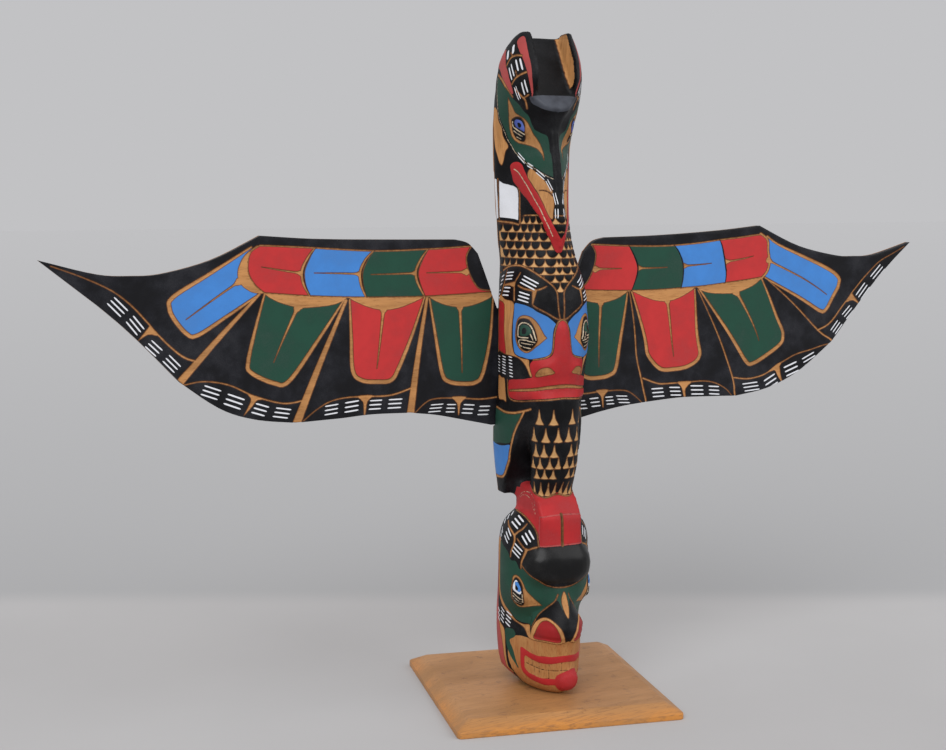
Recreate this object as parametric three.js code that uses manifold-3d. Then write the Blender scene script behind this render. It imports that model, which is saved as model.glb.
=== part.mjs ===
// Carved and painted totem pole: one carved log, two carved wings let into its flat back, and a base board.
// Lengths are in millimetres. X runs along the wings, the carved faces look along -Y and Z is up. The origin
// is on the underside of the base board, straight below the middle of the pole.

import * as THREE from 'three';
import Module from 'manifold-3d';
import { mergeVertices } from 'three/addons/utils/BufferGeometryUtils.js';

const wasm = await Module();
wasm.setup();

// Base board
const boardWidth = 305;
const boardDepth = 316;
const boardThickness = 19;
const boardEdgeHeight = 8;
const boardChamfer = 19;
const boardCornerRadius = 7;
const boardTurn = -9;
const boardShift = 3.8;

// Pole: its height above the board, the radius of the log and the flat plane of its back
const poleHeight = 874;
const logRadius = 62;
const backPlane = 30;

// Wings: reach from the middle of the pole, height, thickness, and the height of their lowest inner corner
const wingReach = 645;
const wingHeight = 258;
const wingThickness = 12;
const wingLevel = boardThickness + 355;
const wingRootInset = 12;
const wingRootHeight = 157;
const wingRootReach = 52;
const wingRelief = 1.5;
const jointGap = 0.3;

// The figures are drawn for a log of this height and radius, and follow it when the log changes
const drawnHeight = 874;
const drawnRadius = 62;
const tall = poleHeight / drawnHeight;
const girth = logRadius / drawnRadius;

// The wings are drawn for this reach and height
const drawnReach = 645;
const drawnWingHeight = 258;
const drawnWingLevel = 374;

const degree = Math.PI / 180;

// Solids from three.js geometries

function solidOf(geometry) {
  const bare = geometry.clone();
  bare.deleteAttribute('normal');
  bare.deleteAttribute('uv');
  const merged = mergeVertices(bare, 1e-3);
  const index = merged.index.array;
  const corners = [];
  for (let i = 0; i < index.length; i += 3) {
    const [a, b, c] = [index[i], index[i + 1], index[i + 2]];
    if (a !== b && b !== c && c !== a) corners.push(a, b, c);
  }
  return new wasm.Manifold(new wasm.Mesh({
    numProp: 3,
    vertProperties: new Float32Array(merged.attributes.position.array),
    triVerts: new Uint32Array(corners),
  }));
}

function geometryOf(solid) {
  const mesh = solid.getMesh();
  const geometry = new THREE.BufferGeometry();
  geometry.setAttribute('position', new THREE.BufferAttribute(mesh.vertProperties, 3));
  geometry.setIndex(new THREE.BufferAttribute(mesh.triVerts, 1));
  return geometry;
}

function joined(solids) {
  return solids.reduce((sum, solid) => sum.add(solid));
}

// A round or squarish section: the front half and the back half each have their own depth and squareness,
// where a squareness of 2 is an ellipse, 1 a wedge and 8 nearly a box. The angle is 0 at the front.
function sectionPoint(angle, [half, middle, front, frontSquare, back, backSquare]) {
  const across = Math.sin(angle);
  const ahead = Math.cos(angle);
  const square = ahead > 0 ? frontSquare : backSquare;
  const depth = ahead > 0 ? front : back;
  const x = half * Math.sign(across) * Math.abs(across) ** (2 / square);
  const y = middle - depth * Math.sign(ahead) * Math.abs(ahead) ** (2 / square);
  return [x, Math.min(y, backPlane / girth)];
}

// An upright carved form with one ring for each row. A row is
// [level, half width, middle, front, front squareness, back, back squareness].
function uprightForm(rows, sides) {
  const geometry = new THREE.CylinderGeometry(1, 1, 1, sides, rows.length - 1);
  const position = geometry.attributes.position;
  for (let i = 0; i < position.count; i++) {
    const x = position.getX(i);
    const z = position.getZ(i);
    const [level, ...section] = rows[Math.round((position.getY(i) + 0.5) * (rows.length - 1))];
    const spread = Math.hypot(x, z);
    const rim = sectionPoint(Math.atan2(x, z), section);
    const core = (sectionPoint(0, section)[1] + sectionPoint(Math.PI, section)[1]) / 2;
    position.setXYZ(i, rim[0] * spread, core + (rim[1] - core) * spread, level);
  }
  return solidOf(geometry);
}

// A patch drawn on the unrolled pole as [degrees from the front, level], reaching through the carved surface
function wrapped(outline, side, middle) {
  const innerReach = 36;
  const outerReach = 78;
  const shape = new THREE.Shape(outline.map(([angle, level]) => new THREE.Vector2(side * angle * degree, level)));
  const geometry = new THREE.ExtrudeGeometry(shape, { depth: outerReach - innerReach, bevelEnabled: false });
  const position = geometry.attributes.position;
  for (let i = 0; i < position.count; i++) {
    const angle = position.getX(i);
    const reach = innerReach + position.getZ(i);
    position.setXYZ(i, reach * Math.sin(angle), middle - reach * Math.cos(angle), position.getY(i));
  }
  return solidOf(geometry);
}

// A rounded block, such as a brow, an eyeball or a nostril
function roundedBlock(centre, halfSize, squareness, turn = 0, faces = [10, 6]) {
  const geometry = new THREE.SphereGeometry(1, ...faces);
  const position = geometry.attributes.position;
  const bulge = (value) => Math.sign(value) * Math.abs(value) ** (2 / squareness);
  for (let i = 0; i < position.count; i++) {
    position.setXYZ(
      i,
      bulge(position.getX(i)) * halfSize[0],
      bulge(position.getY(i)) * halfSize[1],
      bulge(position.getZ(i)) * halfSize[2],
    );
  }
  geometry.rotateZ(turn);
  geometry.translate(...centre);
  return solidOf(geometry);
}

// A profile drawn on the (y, level) plane and carried across the pole
function acrossPole(profile, halfWidth) {
  const shape = new THREE.Shape(profile.map(([y, level]) => new THREE.Vector2(y, level)));
  const geometry = new THREE.ExtrudeGeometry(shape, { depth: 2 * halfWidth, bevelEnabled: false });
  geometry.rotateX(Math.PI / 2);
  geometry.rotateZ(Math.PI / 2);
  geometry.translate(-halfWidth, 0, 0);
  return solidOf(geometry);
}

// A plate drawn on the (x, level) plane and carried from one depth to the other
function upright(shape, fromY, toY, curveSegments = 6) {
  const options = { depth: toY - fromY, bevelEnabled: false, curveSegments };
  const geometry = new THREE.ExtrudeGeometry(shape, options);
  geometry.rotateX(Math.PI / 2);
  geometry.translate(0, toY, 0);
  return solidOf(geometry);
}

// A shallow cut that follows a drawn line and widens or narrows along it
function carvedLine(points, startWidth, endWidth, fromY, toY) {
  const steps = points.length - 1;
  const curve = new THREE.SplineCurve(points.map(([x, z]) => new THREE.Vector2(x, z)));
  const near = [];
  const far = [];
  for (let i = 0; i <= steps; i++) {
    const at = i / steps;
    const half = (startWidth + (endWidth - startWidth) * at) / 2;
    const point = curve.getPoint(at);
    const along = curve.getTangent(at);
    const side = new THREE.Vector2(-along.y, along.x).multiplyScalar(half);
    near.push(point.clone().add(side));
    far.unshift(point.clone().sub(side));
  }
  return upright(new THREE.Shape([...near, ...far]), fromY, toY);
}

// Lower head: crown, brow roll, nose, muzzle with lips, tongue and eyes

function lowerHead() {
  const head = uprightForm([
    [0, 24, -8, 48, 2, 36, 2],
    [8, 34, -8, 50, 1.9, 40, 2],
    [16, 44, -8, 50, 1.8, 44, 2],
    [26, 54, -8, 50, 1.8, 48, 2.2],
    [42, 56, -7, 50, 1.7, 50, 2.4],
    [72, 57, -6, 51, 1.6, 50, 2.6],
    [104, 58.5, -8, 54, 1.6, 52, 2.4],
    [129, 60.5, -20, 60, 1.9, 62, 2.3],
    [172, 60.5, -23.3, 57, 2, 63, 2.3],
    [195, 60.5, -23.3, 56, 2, 63, 2.3],
    [213, 59, -23.3, 54, 2, 61, 2.2],
    [227, 54, -23.3, 50, 2, 57, 2.2],
    [238, 44, -23.3, 44, 2, 48, 2],
    [245, 28, -23.3, 28, 2, 32, 2],
    [247, 10, -23.3, 12, 2, 14, 2],
  ], 28);
  const muzzleRow = (level, half, front) => [level, half, -28, front, 1.6, 20, 2];
  const muzzle = uprightForm([
    muzzleRow(0, 24, 45), muzzleRow(5, 32, 52), muzzleRow(12, 39, 57), muzzleRow(24, 45, 60),
    muzzleRow(50, 47, 63), muzzleRow(70, 47, 67), muzzleRow(79, 45, 67), muzzleRow(85, 38, 60),
  ], 24);
  const mouthCore = uprightForm([muzzleRow(8, 42.5, 54.5), muzzleRow(24, 42.5, 57.5), muzzleRow(62, 44.5, 62.5)], 24);
  const mouth = [-1, 1].map((side) => wrapped([
    [-1, 37], [16, 38], [38, 46], [60, 58], [60, 38], [38, 24], [16, 17], [-1, 16],
  ], side, -28).subtract(mouthCore));
  const noseRow = (level, half, front) => [level, half, -58, front, 1.8, 16, 2];
  const nose = uprightForm([
    noseRow(75, 30, 37), noseRow(83, 38, 44), noseRow(95, 38, 47), noseRow(107, 31, 42),
    noseRow(119, 20, 36), noseRow(133, 14, 30), noseRow(152, 11, 24),
  ], 18);
  const brow = roundedBlock([0, -53, 175], [50, 36, 31], 2.7, 0, [18, 10]);
  const tongue = roundedBlock([6, -81, 22], [17, 13, 17], 2.2, 8 * degree);
  const eyes = [-1, 1].map((side) =>
    roundedBlock([side * 53.5, -49, 138], [13, 3, 16], 2, side * 62 * degree));
  return joined([head, muzzle.subtract(joined(mouth)), nose, brow, tongue, ...eyes]);
}

// Feet and legs of the middle figure

function feetAndLegs() {
  const feet = acrossPole([
    [-77, 196], [-78, 240], [-63, 262], [-49, 273], [-30, 279], [-10, 279],
    [1, 274], [7, 262], [8, 205],
  ], 30.5);
  const toeGroove = acrossPole([[-90, 190], [-90, 246], [-73, 240], [-73, 190]], 1.6);
  const legs = uprightForm([
    [246, 29, -42, 11, 2, 20, 2],
    [264, 29.5, -42, 11, 2, 20, 2],
    [271, 30, -44, 17, 2, 22, 2],
    [285, 31, -47, 24, 2, 24, 2],
    [311, 33, -52, 27, 2, 28, 2],
    [345, 33.5, -54, 28, 2, 28, 2],
    [400, 34, -54, 28, 2, 28, 2],
  ], 20);
  const legGroove = acrossPole([
    [-95, 268], [-57, 268], [-66, 285], [-74, 311], [-77, 345], [-77, 402], [-95, 402],
  ], 2.2);
  return feet.subtract(toeGroove).add(legs.subtract(legGroove));
}

// Trunk: the tail, the middle face, the chest, the neck and the head of the bird, as rows of uprightForm

const trunkRows = [
  [260.5, 49, 5, 76, 2, 30, 6],
  [300, 54.5, 5, 78, 2, 30, 6],
  [330, 57, 5, 77, 2, 30, 6],
  [366, 57.5, 3, 74, 2, 33, 5],
  [384, 57, -1, 62, 2, 45, 2.6],
  [399, 57.5, -5, 56, 2, 56, 2.1],
  [421, 58, -9, 58, 2, 58, 2],
  [449, 60.3, -14.8, 57, 2, 60.3, 2],
  [480, 61.5, -19, 54, 2, 61.5, 2],
  [504, 60.5, -17, 54.5, 2, 59, 2.1],
  [528, 58, -14.2, 56, 2, 56, 2.3],
  [553, 50.5, -12, 56, 2, 52, 4],
  [574, 47, -5, 60, 2, 42, 6],
  [599, 48.5, 5, 67, 1.5, 30, 8],
  [631, 51, 12, 71, 1.15, 22, 8],
  [677, 54, 18, 74, 1.1, 16, 8],
  [723, 55.5, 19, 70, 1.15, 16, 8],
  [751, 56, 15, 61, 1.45, 20, 7],
  [772, 56.5, 8, 55, 1.9, 27, 5],
  [791, 56, 5, 59, 2.2, 28, 5],
  [813, 53, 3, 70, 2.3, 30, 6],
  [835, 50.5, 3, 66, 2.4, 28, 5],
  [847, 48, 0, 56, 2.4, 26, 4],
  [857, 45, -4, 46, 2.4, 23, 3.5],
  [868, 40, -11, 33, 2.3, 18, 2.5],
  [874, 35.5, -20, 18, 2.3, 12, 2],
];
const trunkSides = 36;

function trunk() {
  const underWings = acrossPole([[8, 255], [-5, 282], [-48, 366], [-58, 384], [-100, 393], [-100, 255]], 80);
  return uprightForm(trunkRows, trunkSides).subtract(underWings);
}

function middleFace() {
  const lipRow = (level, half, front) => [level, half, -28, front, 1.6, 20, 2];
  const lip = (bottom, top) => uprightForm([
    lipRow(bottom, 51, 45), lipRow(bottom + 3, 54, 50), lipRow(top - 3, 54, 50), lipRow(top, 51, 45),
  ], 24);
  const noseRow = (level, half, front) => [level, half, -56, front, 2.4, 14, 2];
  const nose = uprightForm([
    noseRow(426, 28, 18), noseRow(431, 36, 24), noseRow(443, 35, 25), noseRow(454, 18, 27),
    noseRow(470, 14, 27), noseRow(492, 12, 25), noseRow(503, 8, 19),
  ], 18);
  const overhang = 2.5;
  const raised = uprightForm(
    trunkRows.filter(([level]) => level >= 480 && level < 600).map(([level, half, middle, front, ...rest]) =>
      [level, half + overhang, middle, front + overhang, ...rest]),
    trunkSides,
  );
  const lobes = [-1, 1].map((side) => wrapped([
    [1, 497], [2.5, 510], [5, 520], [9, 529], [14, 537], [20, 544], [27, 551], [37, 559], [48, 566],
    [59, 569], [70, 570], [87, 567], [104, 561],
    [104, 525], [88, 526], [71, 527], [56, 525.5], [42, 523], [33, 519], [25, 515], [17, 508], [10, 502],
  ], side, -14).intersect(raised));
  const eyes = [-1, 1].map((side) =>
    roundedBlock([side * 44, -57, 478], [14, 3, 13], 2, side * 48 * degree));
  return joined([lip(395, 409), lip(411, 425), nose, ...lobes, ...eyes]);
}

function birdHead() {
  const beakRow = (level, half, middle, ridge) => [level, half, middle, middle - ridge, 1.25, 12, 2];
  const beak = uprightForm([
    beakRow(589, 2.5, -57, -66), beakRow(600, 8, -58, -70), beakRow(611, 13, -59, -71.5),
    beakRow(627, 20, -54, -72), beakRow(649, 28, -34, -69), beakRow(667, 34, -20, -65),
    beakRow(696, 42, -3, -60), beakRow(716, 44, 0, -56),
  ], 20);
  const bridge = acrossPole([
    [-30, 620], [-70, 606], [-73, 618], [-72.5, 631], [-67, 657], [-62, 688],
    [-55, 722], [-50, 751], [-30, 760],
  ], 6.5);
  const forehead = uprightForm([
    [744, 6.5, -30, 18, 2, 10, 2],
    [758, 14, -30, 24, 2.4, 10, 2],
    [771, 24, -30, 31, 3, 10, 2],
    [776, 26, -30, 32, 3, 10, 2],
    [794, 36, -30, 30, 4, 10, 2],
  ], 16);
  const eyes = [-1, 1].map((side) =>
    roundedBlock([side * 36, -22, 749], [15, 4, 13], 2, side * 58 * degree));
  return joined([beak, bridge, forehead, ...eyes]);
}

// The open channel between the horns, and the notch that separates the horns from the ledge of the forehead
function hornChannel() {
  const channel = acrossPole([[-100, 792], [-46, 792], [1, 867], [6, 900], [-100, 900]], 26);
  const notch = acrossPole([[-100, 774], [-62, 774], [-46, 792], [-69, 819], [-100, 840]], 60);
  return channel.add(notch);
}

// Wings: one drawing serves both sides

// Where the right wing leaves the left wing's outline: [x, z, shift along x, shift along z]
const rightWingDrift = [
  [645, 606, -16, 5], [375, 632, -14, 6], [480, 452, 11, 14], [333, 393, -7, 0],
  [177, 397, 1, -5], [61, 374, 6, 0], [92, 618, 0, 0], [62, 558, 0, 0],
];

function drifted(x, z) {
  const weights = rightWingDrift.map(([atX, atZ]) => 1 / ((x - atX) ** 2 + (z - atZ) ** 2 + 1));
  const total = weights.reduce((sum, weight) => sum + weight);
  const shift = (column) => rightWingDrift.reduce((sum, row, i) => sum + row[column] * weights[i], 0) / total;
  return [x + shift(2), z + shift(3)];
}

const wingPoint = (side) => ([x, z]) => {
  const [atX, atZ] = side > 0 ? drifted(x, z) : [x, z];
  return new THREE.Vector2(
    side * atX * wingReach / drawnReach,
    wingLevel + (atZ - drawnWingLevel) * wingHeight / drawnWingHeight,
  );
};

const wingRootTop = wingLevel + wingRootHeight;
const wingFront = backPlane - wingThickness;

function wingSolid(side) {
  const place = wingPoint(side);
  const placeAll = (points) => points.map(place);
  const shape = new THREE.Shape();
  shape.moveTo(side * wingRootInset, wingLevel);
  shape.lineTo(side * wingRootInset, wingRootTop);
  shape.lineTo(side * wingRootReach * wingReach / drawnReach, wingRootTop);
  shape.splineThru(placeAll([[62, 558], [71, 582], [80, 605]]));
  shape.splineThru(placeAll([[94, 619], [112, 624]]));
  shape.splineThru(placeAll([[200, 625], [300, 627], [375, 632]]));
  shape.splineThru(placeAll([[436, 603], [498, 587], [538, 585], [578, 588], [645, 606]]));
  shape.splineThru(placeAll([[611, 578], [569, 543], [530, 506], [480, 452]]));
  shape.splineThru(placeAll([[430, 416], [385, 400], [333, 393]]));
  shape.splineThru(placeAll([[278, 395], [230, 398], [177, 397]]));
  shape.splineThru(placeAll([[140, 392], [100, 383], [61, 374]]));
  const line = (points, startWidth, endWidth = startWidth) => carvedLine(
    placeAll(points).map(({ x, y }) => [x, y]), startWidth, endWidth, wingFront - 2, wingFront + wingRelief);
  const cuts = [
    line([[380, 620], [322, 617], [227, 612], [153, 612], [92, 616]], 3.5),
    line([[377, 560], [316, 555], [239, 551], [153, 550], [60, 552]], 5),
    line([[311, 614], [327, 586], [317, 556]], 5),
    line([[229, 610], [247, 584], [239, 552]], 5),
    line([[154, 610], [170, 583], [158, 553]], 5),
    line([[392, 612], [402, 588], [384, 562]], 9, 5),
    line([[377, 558], [478, 454]], 3, 10),
    line([[264, 547], [331, 395]], 3, 12),
    line([[152, 546], [176, 399]], 3, 10),
    line([[392, 614], [488, 556], [486, 532], [463, 511], [384, 562]], 5),
    line([[371, 557], [393, 474], [376, 449], [352, 445], [337, 458], [267, 545]], 5),
    line([[259, 545], [256, 458], [242, 444], [206, 442], [191, 460], [156, 545]], 5),
    line([[147, 544], [126, 446], [112, 436], [88, 435], [75, 450], [60, 540]], 5),
    line([[628, 597], [562, 569], [508, 515], [474, 483], [458, 477]], 3.5),
    line([[475, 449], [419, 446], [349, 419], [325, 421]], 3.5),
    line([[318, 398], [287, 418], [238, 422], [176, 429]], 3.5),
    line([[168, 399], [141, 414], [108, 413], [62, 410]], 3.5),
  ];
  return upright(shape, wingFront, backPlane, 4).subtract(joined(cuts));
}

function wingRebate(side) {
  const inner = wingRootInset - jointGap;
  const outer = wingRootInset + 1.2 * logRadius;
  const geometry = new THREE.BoxGeometry(
    outer - inner,
    wingThickness + 2 * jointGap + backPlane,
    wingRootHeight + 2 * jointGap,
  );
  geometry.translate(
    side * (outer + inner) / 2,
    wingFront - jointGap + (wingThickness + 2 * jointGap + backPlane) / 2,
    wingLevel + wingRootHeight / 2,
  );
  return solidOf(geometry);
}

// Pole

function poleSolid() {
  const figures = joined([lowerHead(), trunk(), feetAndLegs(), middleFace(), birdHead()])
    .subtract(hornChannel());
  const geometry = geometryOf(figures);
  geometry.scale(girth, girth, tall);
  geometry.translate(0, 0, boardThickness);
  return solidOf(geometry).subtract(wingRebate(-1)).subtract(wingRebate(1));
}

// Base board: square edge below, wide chamfer above

function boardGeometry() {
  const halfWidth = boardWidth / 2;
  const halfDepth = boardDepth / 2;
  const r = boardCornerRadius;
  const shape = new THREE.Shape();
  shape.moveTo(-halfWidth + r, -halfDepth);
  shape.lineTo(halfWidth - r, -halfDepth);
  shape.absarc(halfWidth - r, -halfDepth + r, r, -90 * degree, 0);
  shape.lineTo(halfWidth, halfDepth - r);
  shape.absarc(halfWidth - r, halfDepth - r, r, 0, 90 * degree);
  shape.lineTo(-halfWidth + r, halfDepth);
  shape.absarc(-halfWidth + r, halfDepth - r, r, 90 * degree, 180 * degree);
  shape.lineTo(-halfWidth, -halfDepth + r);
  shape.absarc(-halfWidth + r, -halfDepth + r, r, 180 * degree, 270 * degree);
  const options = { depth: boardThickness, steps: 2, bevelEnabled: false, curveSegments: 4 };
  const geometry = new THREE.ExtrudeGeometry(shape, options);
  const position = geometry.attributes.position;
  for (let i = 0; i < position.count; i++) {
    const level = position.getZ(i);
    if (level > 0.75 * boardThickness) {
      position.setX(i, position.getX(i) * (1 - boardChamfer / halfWidth));
      position.setY(i, position.getY(i) * (1 - boardChamfer / halfDepth));
    } else if (level > 0.25 * boardThickness) {
      position.setZ(i, boardEdgeHeight);
    }
  }
  return geometryOf(solidOf(geometry));
}

// Nodes

function addMesh(name, geometry, color, roughness) {
  const material = new THREE.MeshStandardMaterial({ color, roughness, metalness: 0, name });
  const mesh = new THREE.Mesh(geometry, material);
  mesh.name = name;
  totem.add(mesh);
  return mesh;
}

const totem = new THREE.Group();
const board = addMesh('base_board', boardGeometry(), '#aa8a6e', 0.75);
board.position.x = boardShift;
board.rotation.z = boardTurn * degree;
addMesh('pole', geometryOf(poleSolid()), '#c48c50', 0.6);
addMesh('wing_left', geometryOf(wingSolid(-1)), '#2a2a2e', 0.6);
addMesh('wing_right', geometryOf(wingSolid(1)), '#2a2a2e', 0.6);

export default totem;
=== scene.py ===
"""Dresses the carved totem pole: paint, carved lines, wood grain, board and studio."""

import math

import bmesh
import bpy
import numpy as np
from bpy.props import FloatProperty, FloatVectorProperty, IntProperty, PointerProperty
from mathutils import Matrix, Vector
from mathutils.bvhtree import BVHTree


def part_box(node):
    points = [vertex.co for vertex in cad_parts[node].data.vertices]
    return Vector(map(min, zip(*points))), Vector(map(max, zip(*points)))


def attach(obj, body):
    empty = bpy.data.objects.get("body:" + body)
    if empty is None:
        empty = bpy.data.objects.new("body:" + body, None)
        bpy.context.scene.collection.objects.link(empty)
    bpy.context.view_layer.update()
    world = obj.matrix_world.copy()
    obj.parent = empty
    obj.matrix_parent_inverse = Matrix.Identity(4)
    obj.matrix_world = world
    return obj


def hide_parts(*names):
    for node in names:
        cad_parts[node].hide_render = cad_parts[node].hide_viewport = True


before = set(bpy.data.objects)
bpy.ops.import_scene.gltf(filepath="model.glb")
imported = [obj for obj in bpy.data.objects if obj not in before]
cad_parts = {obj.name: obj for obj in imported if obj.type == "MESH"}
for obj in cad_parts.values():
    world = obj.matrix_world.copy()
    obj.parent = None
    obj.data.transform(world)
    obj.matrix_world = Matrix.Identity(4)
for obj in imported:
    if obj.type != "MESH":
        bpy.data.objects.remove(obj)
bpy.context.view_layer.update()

bl_info = {
    "name": "Totem Pole",
    "version": (1, 0, 0),
    "blender": (4, 5, 0),
    "location": "3D View > Sidebar > Totem",
    "description": "Paints and finishes a carved totem pole with spread wings",
    "category": "Object",
}

MM = 0.001

# In the order in which the material lays them over the black ground
PAINTS = ("gloss", "worn", "red", "rose", "green", "blue", "violet", "wood", "tan", "chip",
          "white", "cream")

# In mm, where MM isn't named
FAR = 60.0                 # stands for the distance to a paint that isn't near
AREA_REACH = 6.0           # how far round an area's edge its paint is measured
LINE_REACH = 4.0           # the same for a line, beyond its width
DASH_REACH = 12.0          # and for a group of dashes
FLARE_RUN = 9.0            # the length over which a stem splays at its root
LEAST_CUT = 0.02           # a point that would be carved less stays where it is
SKIN_MATCH = 5.0           # how near the outermost skin a point counts as outside
CAD_WELD = 0.01 * MM
WING_WELD = 0.02 * MM
NEAR_POINTS = 0.03 * MM

SPLIT_FACES = 192000       # the splitting stops here
MOST_FACES = 200000        # and a piece has fewer than this
PIECE_SHARP = 55           # degrees between faces from which an edge is shaded sharp
BOARD_SHARP = 20
WING_SHARP = 40
LEVEL_FACES = math.radians(1)
POLE_SPLITS = ((2.4, 0.55), (1.6, 0.22))
WING_SPLITS = ((4.0, 0.75), (2.0, 0.75), (1.2, 0.4))


# Outlines on the pole: (degrees round from the front, height in mm), one side, mirrored

HORN_RED = [
    (80, 879), (70, 868), (59.5, 857), (51, 843), (46.8, 829), (44.8, 812), (44.2, 807),
    (42.6, 811), (41.5, 827), (43.5, 846), (51, 864), (63, 883), (73, 885)
]
# Painted highlight: the light that the upturned forehead ledge reflects, laid on as a pale
# blue-grey paint
LEDGE_SHEEN = [
    (48.9, 807), (42, 808.4), (31.4, 809.4), (20, 809.6), (0, 809.6), (-6, 809.6), (-6, 788.5),
    (4.2, 788.5), (14, 789.3), (25.6, 791.9), (36, 795.5), (46, 799.7)
]
CREST_ROSE = [
    (112, 871), (104, 860), (99, 850), (90, 840), (86, 833), (81, 826), (76, 813), (79, 811),
    (90, 822), (105, 834), (116, 845), (125, 850), (124, 864)
]
CREST_EDGE = [(120, 839), (105, 831), (90, 819), (79, 808)]
CREST_BRANCHES = [
    ([(97, 849), (90, 857), (82, 860), (72, 861), (62, 860)], 2.4),
    ([(82, 860), (90, 865)], 1.8),
    ([(79, 824), (72, 831), (62, 835.5), (51, 838.5)], 2.4),
    ([(71.5, 841), (68, 834)], 1.8),
    ([(72, 818), (62, 808), (57, 803), (57, 793)], 2.4),
    ([(60, 806), (50, 810)], 2.0),
]
BIRD_GREEN = [
    (121, 835), (112, 807), (110, 799), (108, 784.5), (105.5, 774), (103.5, 764), (103, 757),
    (101, 749.5), (95, 739), (71, 726.5), (55, 721.5), (38, 716), (22, 710), (8, 705), (8, 705),
    (9, 729.5), (11.5, 738), (12, 747), (14.5, 756), (20, 759.5), (34, 762.5), (46, 766),
    (50.5, 771), (53.5, 776), (55, 781), (58, 785), (65, 791), (70, 799), (80, 808), (87, 816),
    (103, 826)
]
BIRD_GREEN_RIM = [
    (122, 835), (114, 808), (112, 799), (110, 784.5), (107.5, 773.5), (105.5, 763), (104.5, 755),
    (101.5, 747), (95, 736.8), (71, 724.2), (55, 719.3), (38, 713.8), (22, 707.8), (8, 702.5)
]
BIRD_SOCKET = [
    (87, 808), (87, 808), (90, 790), (94, 779), (96.5, 768), (96, 757), (89, 750), (77, 748),
    (55, 744.5), (40, 741), (28, 734), (23, 726), (23, 726), (25, 736.5), (33, 747), (43, 755),
    (51, 761), (55.5, 769), (62, 777.5), (71, 783), (79.5, 788), (82, 797)
]
BIRD_EYE = [
    (80.5, 783), (89.5, 779.5), (91.5, 773), (92.5, 764), (89, 755), (77.5, 751), (69.5, 756),
    (66, 762), (65, 771), (67.5, 777.5), (73, 782)
]
BIRD_IRIS = [
    (83, 779), (78, 779.5), (71, 776.5), (66.8, 770), (65.5, 763.5), (71, 765), (77, 767.5),
    (83.5, 770.5), (85.5, 775)
]
BIRD_PUPIL = [(79.5, 775), (75.5, 775.5), (72, 772.5), (73.5, 769), (78, 769.5)]
BIRD_EYE_BARS = [
    ([(88.5, 777), (89.5, 771), (84, 767.5), (74, 763), (67.5, 760)], 1.6),
    ([(90, 765.5), (83, 762), (73, 757.5)], 1.3),
    ([(87, 757.5), (80, 754.5)], 1.2),
]
BIRD_CHEEK = [
    (122, 797), (113, 793), (111, 779), (108, 771), (109, 760), (107, 752), (105.5, 745),
    (110, 739), (113, 726), (115, 721), (117, 724), (119, 734), (121, 742), (123, 755), (124, 770),
    (125, 786)
]
BIRD_LIP = [
    (104, 720.5), (98.5, 724.5), (89, 725), (80, 722), (71, 712.5), (63, 705), (54, 697.5),
    (45, 690.5), (36, 683.5), (30, 677), (25, 670.5), (20, 661.5), (14.5, 652), (10.5, 644),
    (6, 635), (3, 629.5), (-1, 624.5), (-6, 622), (-6, 612), (0, 607), (6, 610), (9.5, 615),
    (12.5, 622), (17, 629.5), (22, 638.5), (27.5, 648.5), (33, 655), (46, 664), (63, 675.5),
    (80.5, 684.5), (91, 692.5), (99.5, 699.5), (101.5, 707), (103.5, 713.5)
]
BIRD_LIP_LINE = [
    (97, 716), (88, 712), (73, 701), (56, 688), (41, 675), (30, 664), (23, 653), (16, 641),
    (10, 629)
]
BIRD_PANEL = [
    (63, 712), (55, 717), (47.5, 714), (35.5, 709), (25.5, 703), (17, 695.5), (10.5, 688.5),
    (9.5, 682), (8, 672), (10, 659.5), (11, 651), (15, 653), (21, 664), (27, 674), (36, 684.5),
    (45, 691.5), (54, 698.5), (63, 705)
]
BIRD_PANEL_CUT = [(33, 688), (25, 688), (19, 687), (13.5, 684.5), (10.5, 681)]
NECK_WHITE = [
    (118.3, 702), (118.3, 702), (115, 698), (107, 695.5), (99, 693.5), (93, 690.5), (91, 686),
    (90.5, 680), (90, 664), (88, 649.5), (88, 649.5), (100, 651.5), (118.3, 653), (118.3, 653)
]
NECK_WHITE_BACK = [
    (121.5, 703), (121.5, 703), (150, 705), (150, 652), (121.5, 652), (121.5, 652)
]
NECK_SEAM = [(120, 704), (119.8, 676), (120, 650)]
NECK_EDGE = [(91, 692), (88, 688), (87.5, 680), (87, 664), (84.5, 650), (83, 645)]
NECK_BAND = [(150, 649), (120, 647.5), (100, 646), (86, 643.5)]
BEAK_DASHES = [
    ((91, 737.5), (72, 727.2), (90, 733), (73, 723.2)),
    ((65, 723.8), (49, 719.2), (66, 720.2), (50, 715.6)),
    ((41, 715.2), (21.5, 705.4), (42, 711.4), (23, 701.8)),
    ((17.5, 702.5), (9.0, 688.5), (20, 700), (12.0, 686.8)),
    ((9.4, 684.5), (6.6, 669.5), (6.4, 685), (3.8, 670)),
    ((7.4, 664.5), (7.8, 652), (4.4, 664.5), (5.0, 652)),
]
CREST_DASHES = [
    ((98, 870), (98.5, 856), (90, 874), (81, 865)),
    ((89, 845), (78, 831), (83.5, 851.5), (74, 833)),
    ((73, 855), (66, 841), (65, 857), (57, 841)),
    ((74, 820), (67.5, 804), (70, 822), (65, 805)),
    ((60, 826), (56, 810), (54, 829), (51, 813)),
]

SCALE_ROWS = [
    (645, 8, 17), (634, 12, 17), (622.5, 15.5, 17.5), (611.5, 11, 19), (600.5, 0, 19.5),
    (589.5, 3.5, 18), (579.5, 5, 17.5), (569.5, 7.5, 16), (558.5, 0, 15),
]
SCALE_GROUND = [
    (-8, 656), (-8, 656), (76, 656), (82, 646), (124, 644), (124, 644), (124, 583), (112, 583),
    (92, 589), (78, 590), (60, 589.5), (47, 586.5), (33, 580), (19.5, 571.5), (9, 562.5),
    (4.5, 557), (-4.5, 557), (-8, 560)
]

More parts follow.
